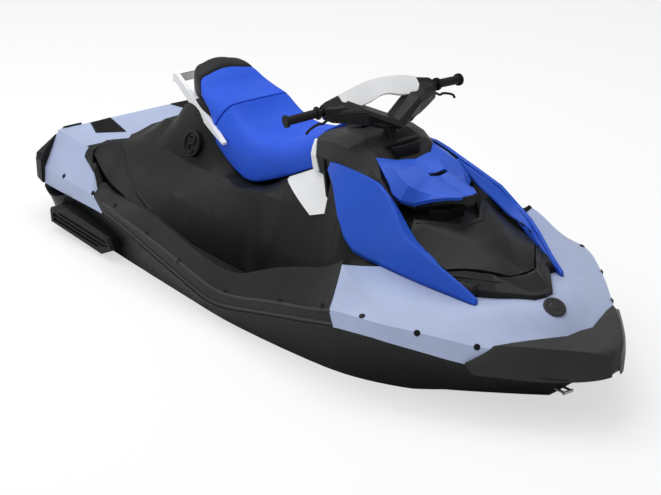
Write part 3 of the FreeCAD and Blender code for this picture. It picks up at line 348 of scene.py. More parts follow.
def rivet_row(name, target, places, sign, radius=0.012, height=0.006):
    """Row of push rivets settled on a piece, at port places or their mirrors."""
    spots = settle(target, [yard(x, sign * y, z) for x, y, z in places])
    return fit(rivets(name, spots, radius, height, rivet_black), "craft", "black_plastic")


def beads(name, lines, radius, material, closed=False):
    """Raised beads, ribs or seams along lines of points."""
    tree, given = new_group(name, "Lines", ("Bead radius",), "Beads")
    new, link = tree.nodes.new, tree.links.new
    curve, ring = new("GeometryNodeMeshToCurve"), new("GeometryNodeCurvePrimitiveCircle")
    tube = new("GeometryNodeCurveToMesh")
    ring.inputs["Resolution"].default_value = BEAD_SIDES
    tube.inputs["Fill Caps"].default_value = True
    link(given["Lines"], curve.inputs["Mesh"])
    link(given["Bead radius"], ring.inputs["Radius"])
    link(curve.outputs["Curve"], tube.inputs["Curve"])
    link(ring.outputs["Curve"], tube.inputs["Profile Curve"])
    points, edges = [], []
    for line in lines:
        first = len(points)
        points += [tuple(p) for p in line]
        edges += [(first + i, first + i + 1) for i in range(len(line) - 1)]
        if closed:
            edges.append((len(points) - 1, first))
    data = bpy.data.meshes.new(name)
    data.from_pydata(points, edges, [])
    piece = grown(name, tree, tube.outputs["Mesh"], material, data, {"Bead radius": radius})
    bm = bmesh.new()
    bm.from_mesh(piece.data)
    bmesh.ops.recalc_face_normals(bm, faces=bm.faces)
    bm.to_mesh(piece.data)
    bm.free()
    for face in piece.data.polygons:
        face.use_smooth = True
    return piece


def fine(points, count):
    """Evenly spread points along a smooth line through millimetre points, in the craft's frame."""
    spans = len(points) - 1
    line = []
    for i in range(count + 1):
        u = i * spans / count
        k = min(int(u), spans - 1)
        t = u - k
        near = (points[max(k - 1, 0)], points[k], points[k + 1], points[min(k + 2, spans)])
        line.append(yard(*(HALF_MM * (2 * q + (r - p) * t + (2 * p - 5 * q + 4 * r - w) * t * t
                                      + (3 * q - p - 3 * r + w) * t ** 3) for p, q, r, w in zip(*near))))
    return line


BAND_CREASE = [(560, 552, 425), (740, 565, 410), (925, 578, 398), (1162, 588, 365), (1345, 591, 337),
               (1437, 591, 332), (1580, 589, 356), (1790, 584, 408), (2000, 574, 454), (2120, 566, 485)]
BAND_JOINT = [(570, 553, 371), (715, 565, 362), (860, 576, 341), (1030, 583, 313), (1172, 588, 290),
              (1330, 591, 264), (1416, 591, 264), (1506, 591, 279), (1697, 587, 324), (1940, 580, 380),
              (2125, 569, 421)]
STRIP_RISE = 15
BAND_STRIP = [(x, y, z + STRIP_RISE) for x, y, z in BAND_JOINT]
BAND_RIVETS = [(0.640, 0.542, 0.435), (0.914, 0.572, 0.405), (1.159, 0.585, 0.368), (1.469, 0.584, 0.345),
               (1.812, 0.577, 0.424), (2.052, 0.563, 0.483)]
# Name, line, radius and material of each
BAND_TRIM = (("crease_roll_", BAND_CREASE, 0.0055, highlight_grey), ("rub_strip_", BAND_STRIP, 0.006, highlight_grey),
             ("joint_seal_", BAND_JOINT, 0.004, rivet_black))
TRIM_STEPS = 60

for side, sign in SIDES:
    band = tucked(eased("deck_band_" + side, "side_band_" + side, band_charcoal, radius=0.005, angle=20.0))
    fit(band, "craft", "black_plastic", "deck_band_" + side)
    rivet_row("band_rivets_" + side, band, BAND_RIVETS, sign)
    for label, line, radius, material in BAND_TRIM:
        rough_line = fine([(x, sign * y, z) for x, y, z in line], TRIM_STEPS)
        path = [place for place, _ in settle(band, rough_line)]
        fit(beads(label + side, [path], radius, material), "craft", "black_plastic")

# Stern deck: a satin lavender moulding with two black non-slip mats let into the platform, a black skin
# down to the footwells, and soft black caps over its corners that take the knocks of docking.

DECK_LINE = [(560, 551, 380), (500, 524, 420), (436, 498, 453), (360, 478, 490), (293, 461, 526),
             (286, 450, 545), (298, 428, 562), (262, 330, 562), (275, 270, 562), (300, 215, 566)]
LIP_LAP = 8
LIP_INNER, LIP_OUTER = 215, 560
LIP_LOW, LIP_STEEPEST = 0.17, -0.2
LIP_WALL = 0.003
WELL_CREASE = [(316, 275, 558), (383, 314, 550), (448, 351, 532), (524, 397, 497), (638, 428, 459),
               (742, 439, 418)]
CREASE_IN, CREASE_SINK = 5, 6
MAT_CORNERS = [(0.014, 0.264), (0.008, 0.158), (0.205, 0.204), (0.138, 0.314)]
MAT_TOP = 0.567
MAT_SPACES, RIB_INSET = 12, 0.06
CORNER_PAD = [(4, 500, 470), (4, 440, 540), (-34, 410, 535), (-40, 511, 466), (-56, 500, 458),
              (-56, 505, 350), (0, 505, 330), (-50, 405, 500), (-56, 405, 360)]
STERN_RIVETS = [(0.189, 0.512, 0.424), (0.462, 0.537, 0.434)]

lavender = moulded("lavender", (0.348, 0.408, 0.575), rough=0.36, grain=0.06, grain_scale=900.0, spread=0.05,
                   scuffs=0.3)
mat_black = moulded("mat_black", (0.010, 0.010, 0.010), rough=0.72, grain=0.5, grain_scale=380.0)
aft = fit(eased("aft_deck", "stern_deck", lavender, radius=0.006), "craft", "lavender_plastic", "aft_deck")


def straight(curve, x):
    """Value at x of a line of straight pieces."""
    for (x0, v0), (x1, v1) in zip(curve, curve[1:]):
        if x <= x1:
            return v0 + (v1 - v0) * max(0.0, x - x0) / (x1 - x0)
    return curve[-1][1]


def sliced(bm, place, across):
    bmesh.ops.bisect_plane(bm, geom=bm.verts[:] + bm.edges[:] + bm.faces[:], plane_co=place, plane_no=across)


def lip_shell(sign, name):
    """Black skin over the stern deck inward of its edge line, cut from the deck's own faces."""
    bm = bmesh.new()
    bm.from_mesh(aft.data)
    line = [mm(x - LIP_LAP, sign * y, z) for x, y, z in DECK_LINE]
    for a, b in zip(line, line[1:]):
        sliced(bm, a, (b - a).cross(Vector((0, 0, 1))))
    edge_x = sorted((abs(spot.y) * 1000, from_stern(spot.x)) for spot in line)
    spare = []
    for face in bm.faces:
        middle = face.calc_center_median()
        reach = sign * middle.y * 1000
        inward = from_stern(middle.x) > straight(edge_x, reach) and LIP_INNER < reach < LIP_OUTER
        if not (inward and face.normal.z > LIP_STEEPEST and middle.z > LIP_LOW):
            spare.append(face)
    bmesh.ops.delete(bm, geom=spare, context="FACES")
    skin = finish_mesh(bm, name, deck_black)
    wall = skin.modifiers.new("wall", "SOLIDIFY")
    wall.thickness, wall.offset = LIP_WALL, 1.0
    return skin


def nugget(name, points, material, radius):
    """Faceted block wrapped round points, its corners eased."""
    bm = bmesh.new()
    for point in points:
        bm.verts.new(mm(*point))
    wrapped = bmesh.ops.convex_hull(bm, input=bm.verts)
    loose = wrapped["geom_interior"] + wrapped["geom_unused"]
    bmesh.ops.delete(bm, geom=[v for v in loose if isinstance(v, bmesh.types.BMVert)], context="VERTS")
    bmesh.ops.dissolve_limit(bm, angle_limit=math.radians(2.0), verts=bm.verts, edges=bm.edges)
    ease_corners(bm, radius, angle=12.0, segments=3, slide=False)
    return even_normals(finish_mesh(bm, name, material), weight=50)


for side, sign in SIDES:
    fit(eased("traction_mat_" + side, "mat_" + side, mat_black, radius=0.0015), "craft", "mat_foam",
        "traction_mat_" + side)
    a, b, c, d = [yard(x, sign * y, MAT_TOP) for x, y in MAT_CORNERS]
    ribs = []
    for i in range(1, MAT_SPACES):
        start, stop = a.lerp(d, i / MAT_SPACES), b.lerp(c, i / MAT_SPACES)
        ribs.append([start.lerp(stop, RIB_INSET), start.lerp(stop, 1 - RIB_INSET)])
    fit(beads("mat_ribs_" + side, ribs, radius=0.0022, material=mat_black), "craft", "mat_foam")
    fit(lip_shell(sign, "well_lip_" + side), "craft", "black_plastic")
    crease = fine([(x, sign * (y - CREASE_IN), z - CREASE_SINK) for x, y, z in WELL_CREASE], count=30)
    fit(beads("well_crease_" + side, [crease], radius=0.013, material=deck_black), "craft",
        "black_plastic")
    pad = [(x, sign * y, z) for x, y, z in CORNER_PAD]
    fit(nugget("corner_pad_" + side, pad, deck_black, radius=0.012), "craft", "black_plastic")
    fit(eased("stern_cap_" + side, "corner_bumper_" + side, deck_black, radius=0.008), "craft",
        "black_plastic", "stern_cap_" + side)
    rivet_row("stern_rivets_" + side, aft, STERN_RIVETS, sign, radius=0.011, height=0.005)

# Bow deck: the second lavender moulding, with two long ridges, held by rivets near its lower edge. A
# black rubber bumper wraps round the stem, and a plain disc is pressed on behind it.

BOW_RIVETS = [(2.246, 0.535, 0.500), (2.442, 0.447, 0.480), (2.620, 0.326, 0.457)]
BADGE_SPOT = yard(2.660, 0.0, 0.535)

bow = fit(eased("bow_deck", "bow_moulding", lavender, radius=0.006, angle=16.0), "craft", "lavender_plastic",
          "bow_deck")
bumper_black = moulded("bumper_black", (0.026, 0.0264, 0.027), rough=0.46, grain=0.18, grain_scale=560.0)
fit(eased("bow_bumper", "stem_bumper", bumper_black, radius=0.006, angle=9.0), "craft", "black_plastic",
    "bow_bumper")
for side, sign in SIDES:
    rivet_row("bow_rivets_" + side, bow, BOW_RIVETS, sign)
disc = rivets("badge_disc", settle(bow, [BADGE_SPOT]), radius=0.043, height=0.005, material=bumper_black)
fit(disc, "craft", "black_plastic")

# Hood, bin, surround and lid: black polymer mouldings between the wings, clipped to the bow deck. The
# lid swings up about the pins at its front edge to reach the bin.

HOOD_NOSE = 0.90
NOSE_X, NOSE_Z, NOSE_FALL, NOSE_CLEAR = 0.92, 0.420, 0.09, 0.008

hood_cover = eased("hood", "hood_moulding", deck_black, radius=0.004)
for corner in hood_cover.data.vertices:
    if corner.co.x > HOOD_NOSE:
        ceiling = NOSE_Z - NOSE_FALL * (corner.co.x - NOSE_X) - NOSE_CLEAR
        corner.co.z = min(corner.co.z, ceiling)
fit(hood_cover, "craft", "black_plastic", "hood")
surround = eased("lid_surround", "lid_frame", band_charcoal, radius=0.004, angle=12.0)
fit(surround, "craft", "black_plastic", "lid_surround")
fit(eased("storage_bin", "bin_moulding", deck_black, radius=0.003), "craft", "black_plastic", "storage_bin")
lid_black = moulded("lid_black", (0.0102, 0.0106, 0.0110), rough=0.40, grain=0.12, grain_scale=700.0)

# Lid outline from its rear notch to its front, port half, the crease between its crown and its side, and
# the heights of both along it
LID_EDGE = [(2207, 0), (2196, 50), (2128, 114), (2085, 165), (2110, 206), (2260, 222), (2322, 213),
            (2484, 60), (2497, 0)]
LID_FOLD = [(2085, 176), (2110, 168), (2383, 47), (2500, 24)]
LID_CROWN = [(2060, 748), (2100, 738), (2180, 727), (2250, 712), (2330, 690), (2400, 660), (2450, 636),
             (2500, 612)]
LID_SIDE = [(2060, 696), (2150, 662), (2320, 616), (2500, 600)]
LID_HALF, LID_FRONT, LID_MIDDLE = 225.0, 2497, 2300
LID_SLICES = range(2095, 2500, 15)
SHOULDER_DROP, SHOULDER_FALL = 6, 0.05
PLATE_SINK, STEP_SINK = 1, 1.5
PLATE_WALL = 0.024
HINGE_X, HINGE_HALF, HINGE_Z = 2.478, 0.09, 0.6
STEP_LINE = [(2226, 0), (2214, 60), (2142, 128), (2104, 172)]
# Frame arm from its rear end to the front: inner edge with its depth under the lid's skin, outer edge
ARM_INNER = [(2325, 216, 5), (2375, 170, 5), (2443, 106, 6), (2489, 63, 12), (2502, 0, 14)]
ARM_OUTER = [(2352, 236, 592), (2400, 204, 574), (2500, 130, 570), (2602, 44, 569), (2615, 0, 569)]
ARM_FOOT = 545
RIDGE_SHARE = 0.4


def lid_height(x, y):
    """Height of the lid's skin: two slopes that meet in a fold on each side of the centre line."""
    fold, crown, edge = straight(LID_FOLD, x), straight(LID_CROWN, x), straight(LID_SIDE, x)
    shoulder = crown - SHOULDER_DROP - SHOULDER_FALL * fold
    if abs(y) <= fold:
        return crown + (shoulder - crown) * abs(y) / fold
    return shoulder + (edge - shoulder) * min(1.0, (abs(y) - fold) / (LID_HALF - fold))


def lid_plate():
    """Plate over the lid's outline, cut fine enough to take its folded crown."""
    bm = bmesh.new()
    rim = LID_EDGE + [(x, -y) for x, y in reversed(LID_EDGE) if y > 0]
    bm.faces.new([bm.verts.new((x, y, 0)) for x, y in rim])
    for x in LID_SLICES:
        sliced(bm, (x, 0, 0), (1, 0, 0))
    sliced(bm, (LID_MIDDLE, 0, 0), (0, 1, 0))
    for sign in (1, -1):
        for (x0, y0), (x1, y1) in zip(LID_FOLD, LID_FOLD[1:]):
            sliced(bm, (x0, sign * y0, 0), (sign * y1 - sign * y0, x0 - x1, 0))
    for corner in bm.verts:
        x, y, _ = corner.co
        corner.co = mm(x, y, lid_height(x, y) - PLATE_SINK)
    bmesh.ops.recalc_face_normals(bm, faces=bm.faces)
    plate = finish_mesh(bm, "lid_moulding", lid_black)
    if plate.data.polygons[0].normal.z < 0:
        plate.data.flip_normals()
    wall = plate.modifiers.new("wall", "SOLIDIFY")
    wall.thickness, wall.offset = PLATE_WALL, -1.0
    edge = plate.modifiers.new("edge", "BEVEL")
    edge.width, edge.segments, edge.limit_method, edge.angle_limit = 0.004, 3, "ANGLE", math.radians(40)
    return even_normals(plate, weight=50)


def walled(bm, rings):
    """Rows of corners through rings of millimetre points, with a wall of faces from row to row."""
    rows = [[bm.verts.new(mm(*point)) for point in ring] for ring in rings]
    count = len(rings[0])
    for a, b in zip(rows, rows[1:]):
        for k in range(count):
            bm.faces.new((a[k], a[(k + 1) % count], b[(k + 1) % count], b[k]))
    return rows


def ringed(name, rings, material, radius, angle=12.0, segments=2):
    """Crisp closed body through rings of points, its corners eased."""
    bm = bmesh.new()
    rows = walled(bm, rings)
    bm.faces.new(rows[0])
    bm.faces.new(list(reversed(rows[-1])))
    bmesh.ops.recalc_face_normals(bm, faces=bm.faces)
    ease_corners(bm, radius, angle, segments)
    return even_normals(finish_mesh(bm, name, material), EVEN_WEIGHT)


fit(lid_plate(), "lid", "black_plastic", "storage_lid")
hinge = [yard(HINGE_X, -HINGE_HALF, HINGE_Z), yard(HINGE_X, HINGE_HALF, HINGE_Z)]
fit(beads("lid_hinge_pin", [hinge], radius=0.004, material=lid_black), "lid", "black_plastic")
step_line = [(x, -y) for x, y in reversed(STEP_LINE[1:])] + STEP_LINE
steps = [mm(x, y, lid_height(x, y) - STEP_SINK) for x, y in step_line]
fit(beads("lid_step", [steps], radius=0.0045, material=lid_black), "lid", "black_plastic")
for side, sign in SIDES:
    inner = [(x, y, lid_height(min(x, LID_FRONT), y) - sink) for x, y, sink in ARM_INNER]
    rings = [[(x0, sign * y0, z0), (x1, sign * y1, z1), (x1, sign * y1, ARM_FOOT), (x0, sign * y0, ARM_FOOT)]
             for (x0, y0, z0), (x1, y1, z1) in zip(inner, ARM_OUTER)]
    fit(ringed("lid_frame_arm_" + side, rings, band_charcoal, radius=0.003), "craft", "black_plastic")
    ridge = []
    for a, b in zip(inner[:-1], ARM_OUTER[:-1]):
        x, y, z = [(1 - RIDGE_SHARE) * p + RIDGE_SHARE * q for p, q in zip(a, b)]
        ridge.append(mm(x, sign * y, z))
    fit(beads("lid_frame_ridge_" + side, [ridge], radius=0.004, material=band_charcoal), "craft",
        "black_plastic")

# Wings: glossy royal blue side panels, injection moulded with a crisp top edge and a chamfered lower one,
# that sweep from the console down to squared tips on the bow deck. An inner flange of each lies on the hood.

WING_TOP = [(1682, 238, 850), (1740, 237, 853), (1820, 228, 848), (1880, 220, 841), (1930, 216, 833),
            (1990, 226, 813), (2089, 260, 764), (2160, 279, 708), (2243, 270, 676), (2309, 255, 646),
            (2407, 227, 594), (2479, 213, 556)]
WING_LOW = [(1682, 255, 812), (1740, 280, 780), (1820, 320, 690), (1880, 335, 625), (1930, 334, 588),
            (1990, 322, 574), (2089, 302, 564), (2160, 291, 558), (2243, 277, 552), (2309, 262, 546),
            (2407, 238, 537), (2479, 218, 531)]
WING_THICK = 15.0
CHAMFER_HIGH, CHAMFER_SHARE, CHAMFER_OUT, FOOT_TUCK = 16.0, 0.3, 0.55, 7
TOP_DROP, FOOT_RISE = 3, 1
FLANGE_IN = [(1900, 188, 820), (1930, 190, 812), (1990, 192, 785), (2040, 197, 754), (2095, 210, 727),
             (2150, 219, 692), (2193, 225, 665), (2250, 228, 640), (2305, 224, 613), (2392, 212, 586),
             (2450, 203, 556)]
FLANGE_LAP, FLANGE_DROP = 8, 3
FLANGE_ROWS, FLANGE_SPOTS = 44, 8
ABOVE_ALL, BELOW_ALL = 2.0, -1.0
SMOOTHINGS = 6
THIN_EDGE = 0.002

royal = moulded("royal", (0.020, 0.082, 0.490), rough=0.34, grain=0.03, grain_scale=1100.0, spread=0.05)


def between(a, b, count):
    """Spots from a to b with both ends."""
    return [tuple(p + (q - p) * i / (count - 1) for p, q in zip(a, b)) for i in range(count)]


def roofed(name, pieces, grid, material, clear, wall):
    """Moulded skin through rows of spots, held clear above whatever pieces lie under it."""
    solids = [shaped(piece) for piece in pieces]
    rows, cols = len(grid), len(grid[0])
    heights = [[spot[2] for spot in row] for row in grid]
    floor = [[BELOW_ALL] * cols for _ in grid]
    for i, row in enumerate(grid):
        for k, spot in enumerate(row):
            for solid in solids:
                hit, place, _, _ = solid.ray_cast(Vector((spot[0], spot[1], ABOVE_ALL)), Vector((0, 0, -1)))
                if hit:
                    floor[i][k] = max(floor[i][k], place.z + clear)
    for _ in range(SMOOTHINGS):
        for i in range(rows):
            for k in range(1, cols):
                around = [heights[m][k] for m in (max(i - 1, 0), i, min(i + 1, rows - 1))]
                heights[i][k] = max(sum(around) / 3, floor[i][k])
    bm = bmesh.new()
    top = [[bm.verts.new((spot[0], spot[1], heights[i][k])) for k, spot in enumerate(row)]
           for i, row in enumerate(grid)]
    under = [[bm.verts.new((v.co.x, v.co.y, v.co.z - (wall if k else THIN_EDGE))) for k, v in enumerate(row)]
             for row in top]
    for i in range(rows - 1):
        for k in range(cols - 1):
            bm.faces.new((top[i][k], top[i + 1][k], top[i + 1][k + 1], top[i][k + 1]))
            bm.faces.new((under[i][k], under[i][k + 1], under[i + 1][k + 1], under[i + 1][k]))
    rim = [(i, 0) for i in range(rows)] + [(rows - 1, k) for k in range(1, cols)]
    rim += [(i, cols - 1) for i in range(rows - 2, -1, -1)] + [(0, k) for k in range(cols - 2, 0, -1)]
    for (i, k), (m, n) in zip(rim, rim[1:] + rim[:1]):
        bm.faces.new((top[i][k], top[m][n], under[m][n], under[i][k]))
    return finish_mesh(bm, name, material)


edge_y, edge_z = [(x, y) for x, y, _ in WING_TOP], [(x, z) for x, _, z in WING_TOP]
for side, sign in SIDES:
    rings = []
    for (x, top_y, top_z), (_, low_y, low_z) in zip(WING_TOP, WING_LOW):
        rise = min(CHAMFER_HIGH, CHAMFER_SHARE * (top_z - low_z))
        hip_y = low_y + (top_y - low_y) * rise / (top_z - low_z) * CHAMFER_OUT
        rings.append([(x, sign * (low_y - FOOT_TUCK), low_z), (x, sign * hip_y, low_z + rise),
                      (x, sign * top_y, top_z), (x, sign * (top_y - WING_THICK), top_z - TOP_DROP),
                      (x, sign * (low_y - WING_THICK), low_z + FOOT_RISE)])
    fit(ringed("wing_panel_" + side, rings, royal, radius=0.0022), "craft", "blue_plastic", "wing_" + side)
    inner = fine([(x, sign * y, z) for x, y, z in FLANGE_IN], FLANGE_ROWS)
    outer = []
    for spot in inner:
        x = from_stern(spot.x)
        outer.append(mm(x, sign * (straight(edge_y, x) - FLANGE_LAP), straight(edge_z, x) - FLANGE_DROP))
    grid = [between(a, b, FLANGE_SPOTS) for a, b in zip(outer, inner)]
    flange = roofed("wing_flange_" + side, [hood_cover, surround], grid, royal, clear=0.003, wall=0.014)
    fit(flange, "craft", "blue_plastic")

# Console: a black polymer moulding that wraps the steering column, its facets crisp from the mould. It
# is screwed down between the wings, with a gauge let into its top and a slatted vent at its foot.

# Half sections from the foot to the centre line, each x with its pairs of half width and height
CONSOLE = [
    (1522, [(190, 765), (204, 830), (186, 885), (150, 902), (110, 908), (0, 908)]),
    (1645, [(210, 765), (219, 848), (190, 908), (156, 920), (106, 931), (0, 933)]),
    (1720, [(208, 765), (217, 848), (184, 899), (150, 912), (104, 929), (0, 934)]),
    (1800, [(203, 765), (211, 842), (172, 866), (132, 900), (112, 906), (0, 910)]),
    (1850, [(198, 765), (206, 828), (172, 850), (142, 872), (130, 864), (0, 862)]),
    (1900, [(196, 765), (204, 800), (186, 838), (172, 838), (158, 818), (0, 812)]),
    (1985, [(176, 748), (185, 764), (183, 776), (179, 777), (170, 770), (0, 768)])]

rings = [[(x, 0, half[0][1])] + [(x, y, z) for y, z in half] + [(x, -y, z) for y, z in reversed(half[:-1])]
         for x, half in CONSOLE]
fit(ringed("console_moulding", rings, bumper_black, radius=0.004, angle=8.0, segments=3), "craft",
    "black_plastic", "console")
fit(eased("vent_slats", "vent_moulding", lid_black, radius=0.003), "craft", "black_plastic", "vent_slats")
display = moulded("display", (0.010, 0.012, 0.016), rough=0.12, grain=0.0, spread=0.3)
fit(eased("gauge", "gauge_body", display, radius=0.003), "craft", "display", "gauge")

# Nose cowl: a glossy blue shell ahead of the vent, injection moulded with two ridges that run to a blunt
# beak. It clips down on a black lip, and a dark air slot opens under its front.

SCOOP_X, SCOOP_HALF = (2011, 2017), 41

fit(eased("nose_cowl", "nose_shell", royal, radius=0.004, angle=15.0, flat=7.0), "craft", "blue_plastic",
    "nose_cowl")
fit(eased("cowl_base", "nose_lip", lid_black, radius=0.003, angle=14.0), "craft", "black_plastic",
    "cowl_base")
# A thin deep black block fills the air slot: painted shade inside the opening.
slot_rings = [[(x, -SCOOP_HALF, 834), (x, SCOOP_HALF, 834), (x, SCOOP_HALF, 850), (x, 0, 849),
               (x, -SCOOP_HALF, 850)] for x in SCOOP_X]
fit(ringed("slot_shade_block", slot_rings, rivet_black, radius=0.001), "craft", "black_plastic")

# Seat: closed-cell foam under a stretched blue marine vinyl cover, sewn from top and side panels, with
# a darker panel round the tail. The foam is glued to a hidden shell that hooks on the seat base.

# One row for each station, millimetres from the stern and keel: x, lower edge, its half width, widest
# point and its height, shoulder and its height, height on the centre line
SEAT_ROWS = [
    (585, 798, 98, 110, 885, 84, 942, 957), (625, 806, 125, 137, 885, 110, 936, 956),
    (680, 826, 145, 152, 862, 126, 892, 905), (745, 836, 158, 166, 850, 128, 868, 870),
    (800, 800, 169, 175, 826, 130, 864, 864), (850, 746, 178, 182, 800, 133, 861, 860),
    (910, 684, 186, 191, 770, 138, 853, 856), (985, 614, 190, 197, 715, 150, 800, 792),
    (1045, 585, 190, 198, 690, 154, 778, 766), (1120, 586, 190, 198, 700, 155, 774, 762),
    (1300, 662, 187, 196, 745, 150, 806, 798), (1420, 720, 184, 192, 795, 141, 861, 862),
    (1519, 766, 180, 186, 842, 128, 912, 926)]
ROUNDING = 0.35

# Seams: the height above which a seam stands upright, how much lower it leans in full, and by how much
PAD_SEAM, TAIL_SEAM = (870, 120.0, -60.0), (945, 60.0, 44.0)

# Sections of each pad: x, the seam it leans with, its share of that lean, and how far it draws in
FRONT_PAD = [(913, PAD_SEAM, 1, 0.035), (916, PAD_SEAM, 1, 0), (940, PAD_SEAM, 0.8, 0),
             (985, PAD_SEAM, 0.35, 0)]
FRONT_PAD += [(x, PAD_SEAM, 0, 0) for x in (1020, 1045, 1070, 1120, 1210, 1300, 1420, 1500, 1514)]
FRONT_PAD += [(1519, PAD_SEAM, 0, 0.03)]
REAR_PAD = [(652, TAIL_SEAM, 1, 0.03), (656, TAIL_SEAM, 1, 0), (690, TAIL_SEAM, 0.6, 0),
            (745, TAIL_SEAM, 0, 0), (800, PAD_SEAM, 0, 0), (850, PAD_SEAM, 0.3, 0), (885, PAD_SEAM, 0.75, 0),
            (906, PAD_SEAM, 1, 0), (910, PAD_SEAM, 1, 0.035)]
TAIL_PAD = [(586, TAIL_SEAM, 0, 0.16), (592, TAIL_SEAM, 0, 0.05), (612, TAIL_SEAM, 0.4, 0),
            (635, TAIL_SEAM, 0.8, 0), (645, TAIL_SEAM, 1, 0), (649, TAIL_SEAM, 1, 0.03)]
PAD_LEVELS = 3


def vinyl(name, colour):
    """Marine vinyl: embossed leather grain, a soft sheen and slow changes of tone."""
    mat, tree, shader = blank(name, gleam=0.12)
    body = ramp(tree, noise(tree, scale=6.0, detail=4.0), shade(colour, 0.94), shade(colour, 1.07))
    pores = ramp(tree, noise(tree, scale=700.0, detail=3.0), shade(colour, 0.82), shade(colour, 1.1),
                 start=0.35, stop=0.6)
    tone = mix(tree, ramp(tree, noise(tree, scale=40.0), level(0.15), level(0.4)), body, pores)
    tree.links.new(tone, shader.inputs["Base Color"])
    sheen = ramp(tree, noise(tree, scale=14.0, detail=5.0), level(0.42), level(0.56))
    tree.links.new(sheen, shader.inputs["Roughness"])
    coord = tree.nodes.new("ShaderNodeTexCoord")
    cells = tree.nodes.new("ShaderNodeTexVoronoi")
    cells.inputs["Scale"].default_value = 420.0
    cells.feature = "DISTANCE_TO_EDGE"
    tree.links.new(coord.outputs["Object"], cells.inputs["Vector"])
    grained(tree, shader, cells.outputs["Distance"], strength=0.35)
    return mat


def seat_row(x):
    """Seat sizes at x, rounded a little at each station."""
    for low, high in zip(SEAT_ROWS, SEAT_ROWS[1:]):
        if low[0] <= x <= high[0]:
            t = (x - low[0]) / (high[0] - low[0])
            t = t * t * (3 - 2 * t) * ROUNDING + t * (1 - ROUNDING)
            return [a + (b - a) * t for a, b in zip(low, high)]


def seat_ring(x, seam, share, shrink):
    """Section of the padding, from the middle of its foot up one side and down the other."""
    top, fall, reach = seam
    _, low, yb, ym, zm, yt, zt, zc = seat_row(x)
    half = [(0, low + 1), (0.55 * yb, low + 1), (yb - 12, low + 1), (yb + 2, low + 8),
            (ym - 1, (low + zm) / 2 - 6), (ym + 1, zm), ((ym + yt) / 2 + 8, (zm + zt) / 2 + 8),
            (yt + 4, zt - 1), (yt - 22, zt + 1), (0.45 * yt, zc + 0.35 * (zt - zc)), (0, zc)]
    mid = (low + zc) / 2
    ring = [(x + share * (max(0.0, min(1.0, (top - z) / fall)) * reach), y * (1 - shrink),
             mid + (z - mid) * (1 - shrink)) for y, z in half]
    return ring + [(px, -y, z) for px, y, z in reversed(ring[1:-1])]


def closed_skin(name, rings, material):
    """Smooth closed body through rings of points, its ends capped."""
    bm = bmesh.new()
    rows = walled(bm, rings)
    count = len(rings[0])
    for row in (rows[0], rows[-1]):
        middle = bm.verts.new(sum((v.co for v in row), Vector()) / count)
        for k in range(count):
            bm.faces.new((row[k], row[(k + 1) % count], middle))
    piece = finish_mesh(bm, name, material)
    smooth = piece.modifiers.new("smooth", "SUBSURF")
    smooth.levels = smooth.render_levels = PAD_LEVELS
    return piece


seat_blue = vinyl("seat_blue", (0.020, 0.086, 0.590))
seat_dark = vinyl("seat_dark", (0.018, 0.0185, 0.020))
for name, rows, material, slot, node in (("front_pad", FRONT_PAD, seat_blue, "seat_blue", "seat_front"),
                                         ("rear_pad", REAR_PAD, seat_blue, "seat_blue", "seat_rear"),
                                         ("tail_pad", TAIL_PAD, seat_dark, "seat_dark", "seat_tail")):
    pad = fit(closed_skin(name, [seat_ring(*row) for row in rows], material), "craft", slot, node)

# Grab handle and knee panels: white glass-filled mouldings. The handle loops round the tail for the
# passenger and bolts to the seat base, and each panel clips on below the console with a black border.

KNEE_FRONT = [(1632, 838), (1646, 765), (1659, 688), (1665, 625)]
KNEE_BORDER = ((-30, 196), (-27, 221), (-10, 224), (-6, 196))
KNEE_STRIP = ((1524, 1536, 190, 888), (1523, 1546, 201, 862), (1523, 1556, 209, 832), (1530, 1568, 204, 772))
STRIP_INNER = 180

white = moulded("white", (0.74, 0.75, 0.76), rough=0.42, grain=0.06, grain_scale=900.0, spread=0.03,
                scuffs=0.3)
fit(eased("grab_handle", "passenger_handle", white, radius=0.006), "craft", "white_plastic", "grab_handle")
for side, sign in SIDES:
    fit(eased("knee_panel_" + side, "knee_trim_" + side, white, radius=0.002), "craft", "white_plastic",
        "knee_panel_" + side)
    border = [[(x + step, sign * y, z) for step, y in KNEE_BORDER] for x, z in KNEE_FRONT]
    fit(ringed("knee_border_" + side, border, deck_black, radius=0.002), "craft", "black_plastic")
    strip = [[(x0, sign * STRIP_INNER, z), (x0, sign * y, z), (x1, sign * (y + 1), z),
              (x1, sign * STRIP_INNER, z)] for x0, x1, y, z in KNEE_STRIP]
    fit(ringed("knee_strip_" + side, strip, white, radius=0.002), "craft", "white_plastic")

# Handlebar: black faceted arms clamped on the raked column, a white moulded bridge screwed down over
# them, rubber grips pushed on the ends, and a bent lever pinned beside each grip.

# From the middle out to the grip: y, x and z of the bar's line
BAR_MID = [(0, 1763, 981), (66, 1757, 987), (120, 1731, 1009), (160, 1709, 1029), (190, 1696, 1043),
           (235, 1684, 1047), (268, 1670, 1050)]
CORE_HALF, CORE_LOW, CORE_PULL = 267, 0.775, 0.3
# From the grip in to the middle: y, and the x and z of the arm's corners
BAR_ROWS = [
    (268, [(1654, 1034), (1688, 1030), (1696, 1042), (1688, 1056), (1662, 1072), (1646, 1052)]),
    (250, [(1656, 1010), (1710, 1012), (1705, 1034), (1697, 1046), (1664, 1082), (1642, 1050)]),
    (186, [(1674, 990), (1744, 1003), (1744, 1035), (1730, 1049), (1659, 1094), (1646, 1050)]),
    (125, [(1692, 978), (1768, 990), (1773, 1034), (1757, 1050), (1682, 1064), (1668, 1026)]),
    (0, [(1722, 960), (1790, 958), (1816, 971), (1792, 992), (1725, 1006), (1710, 990)])]
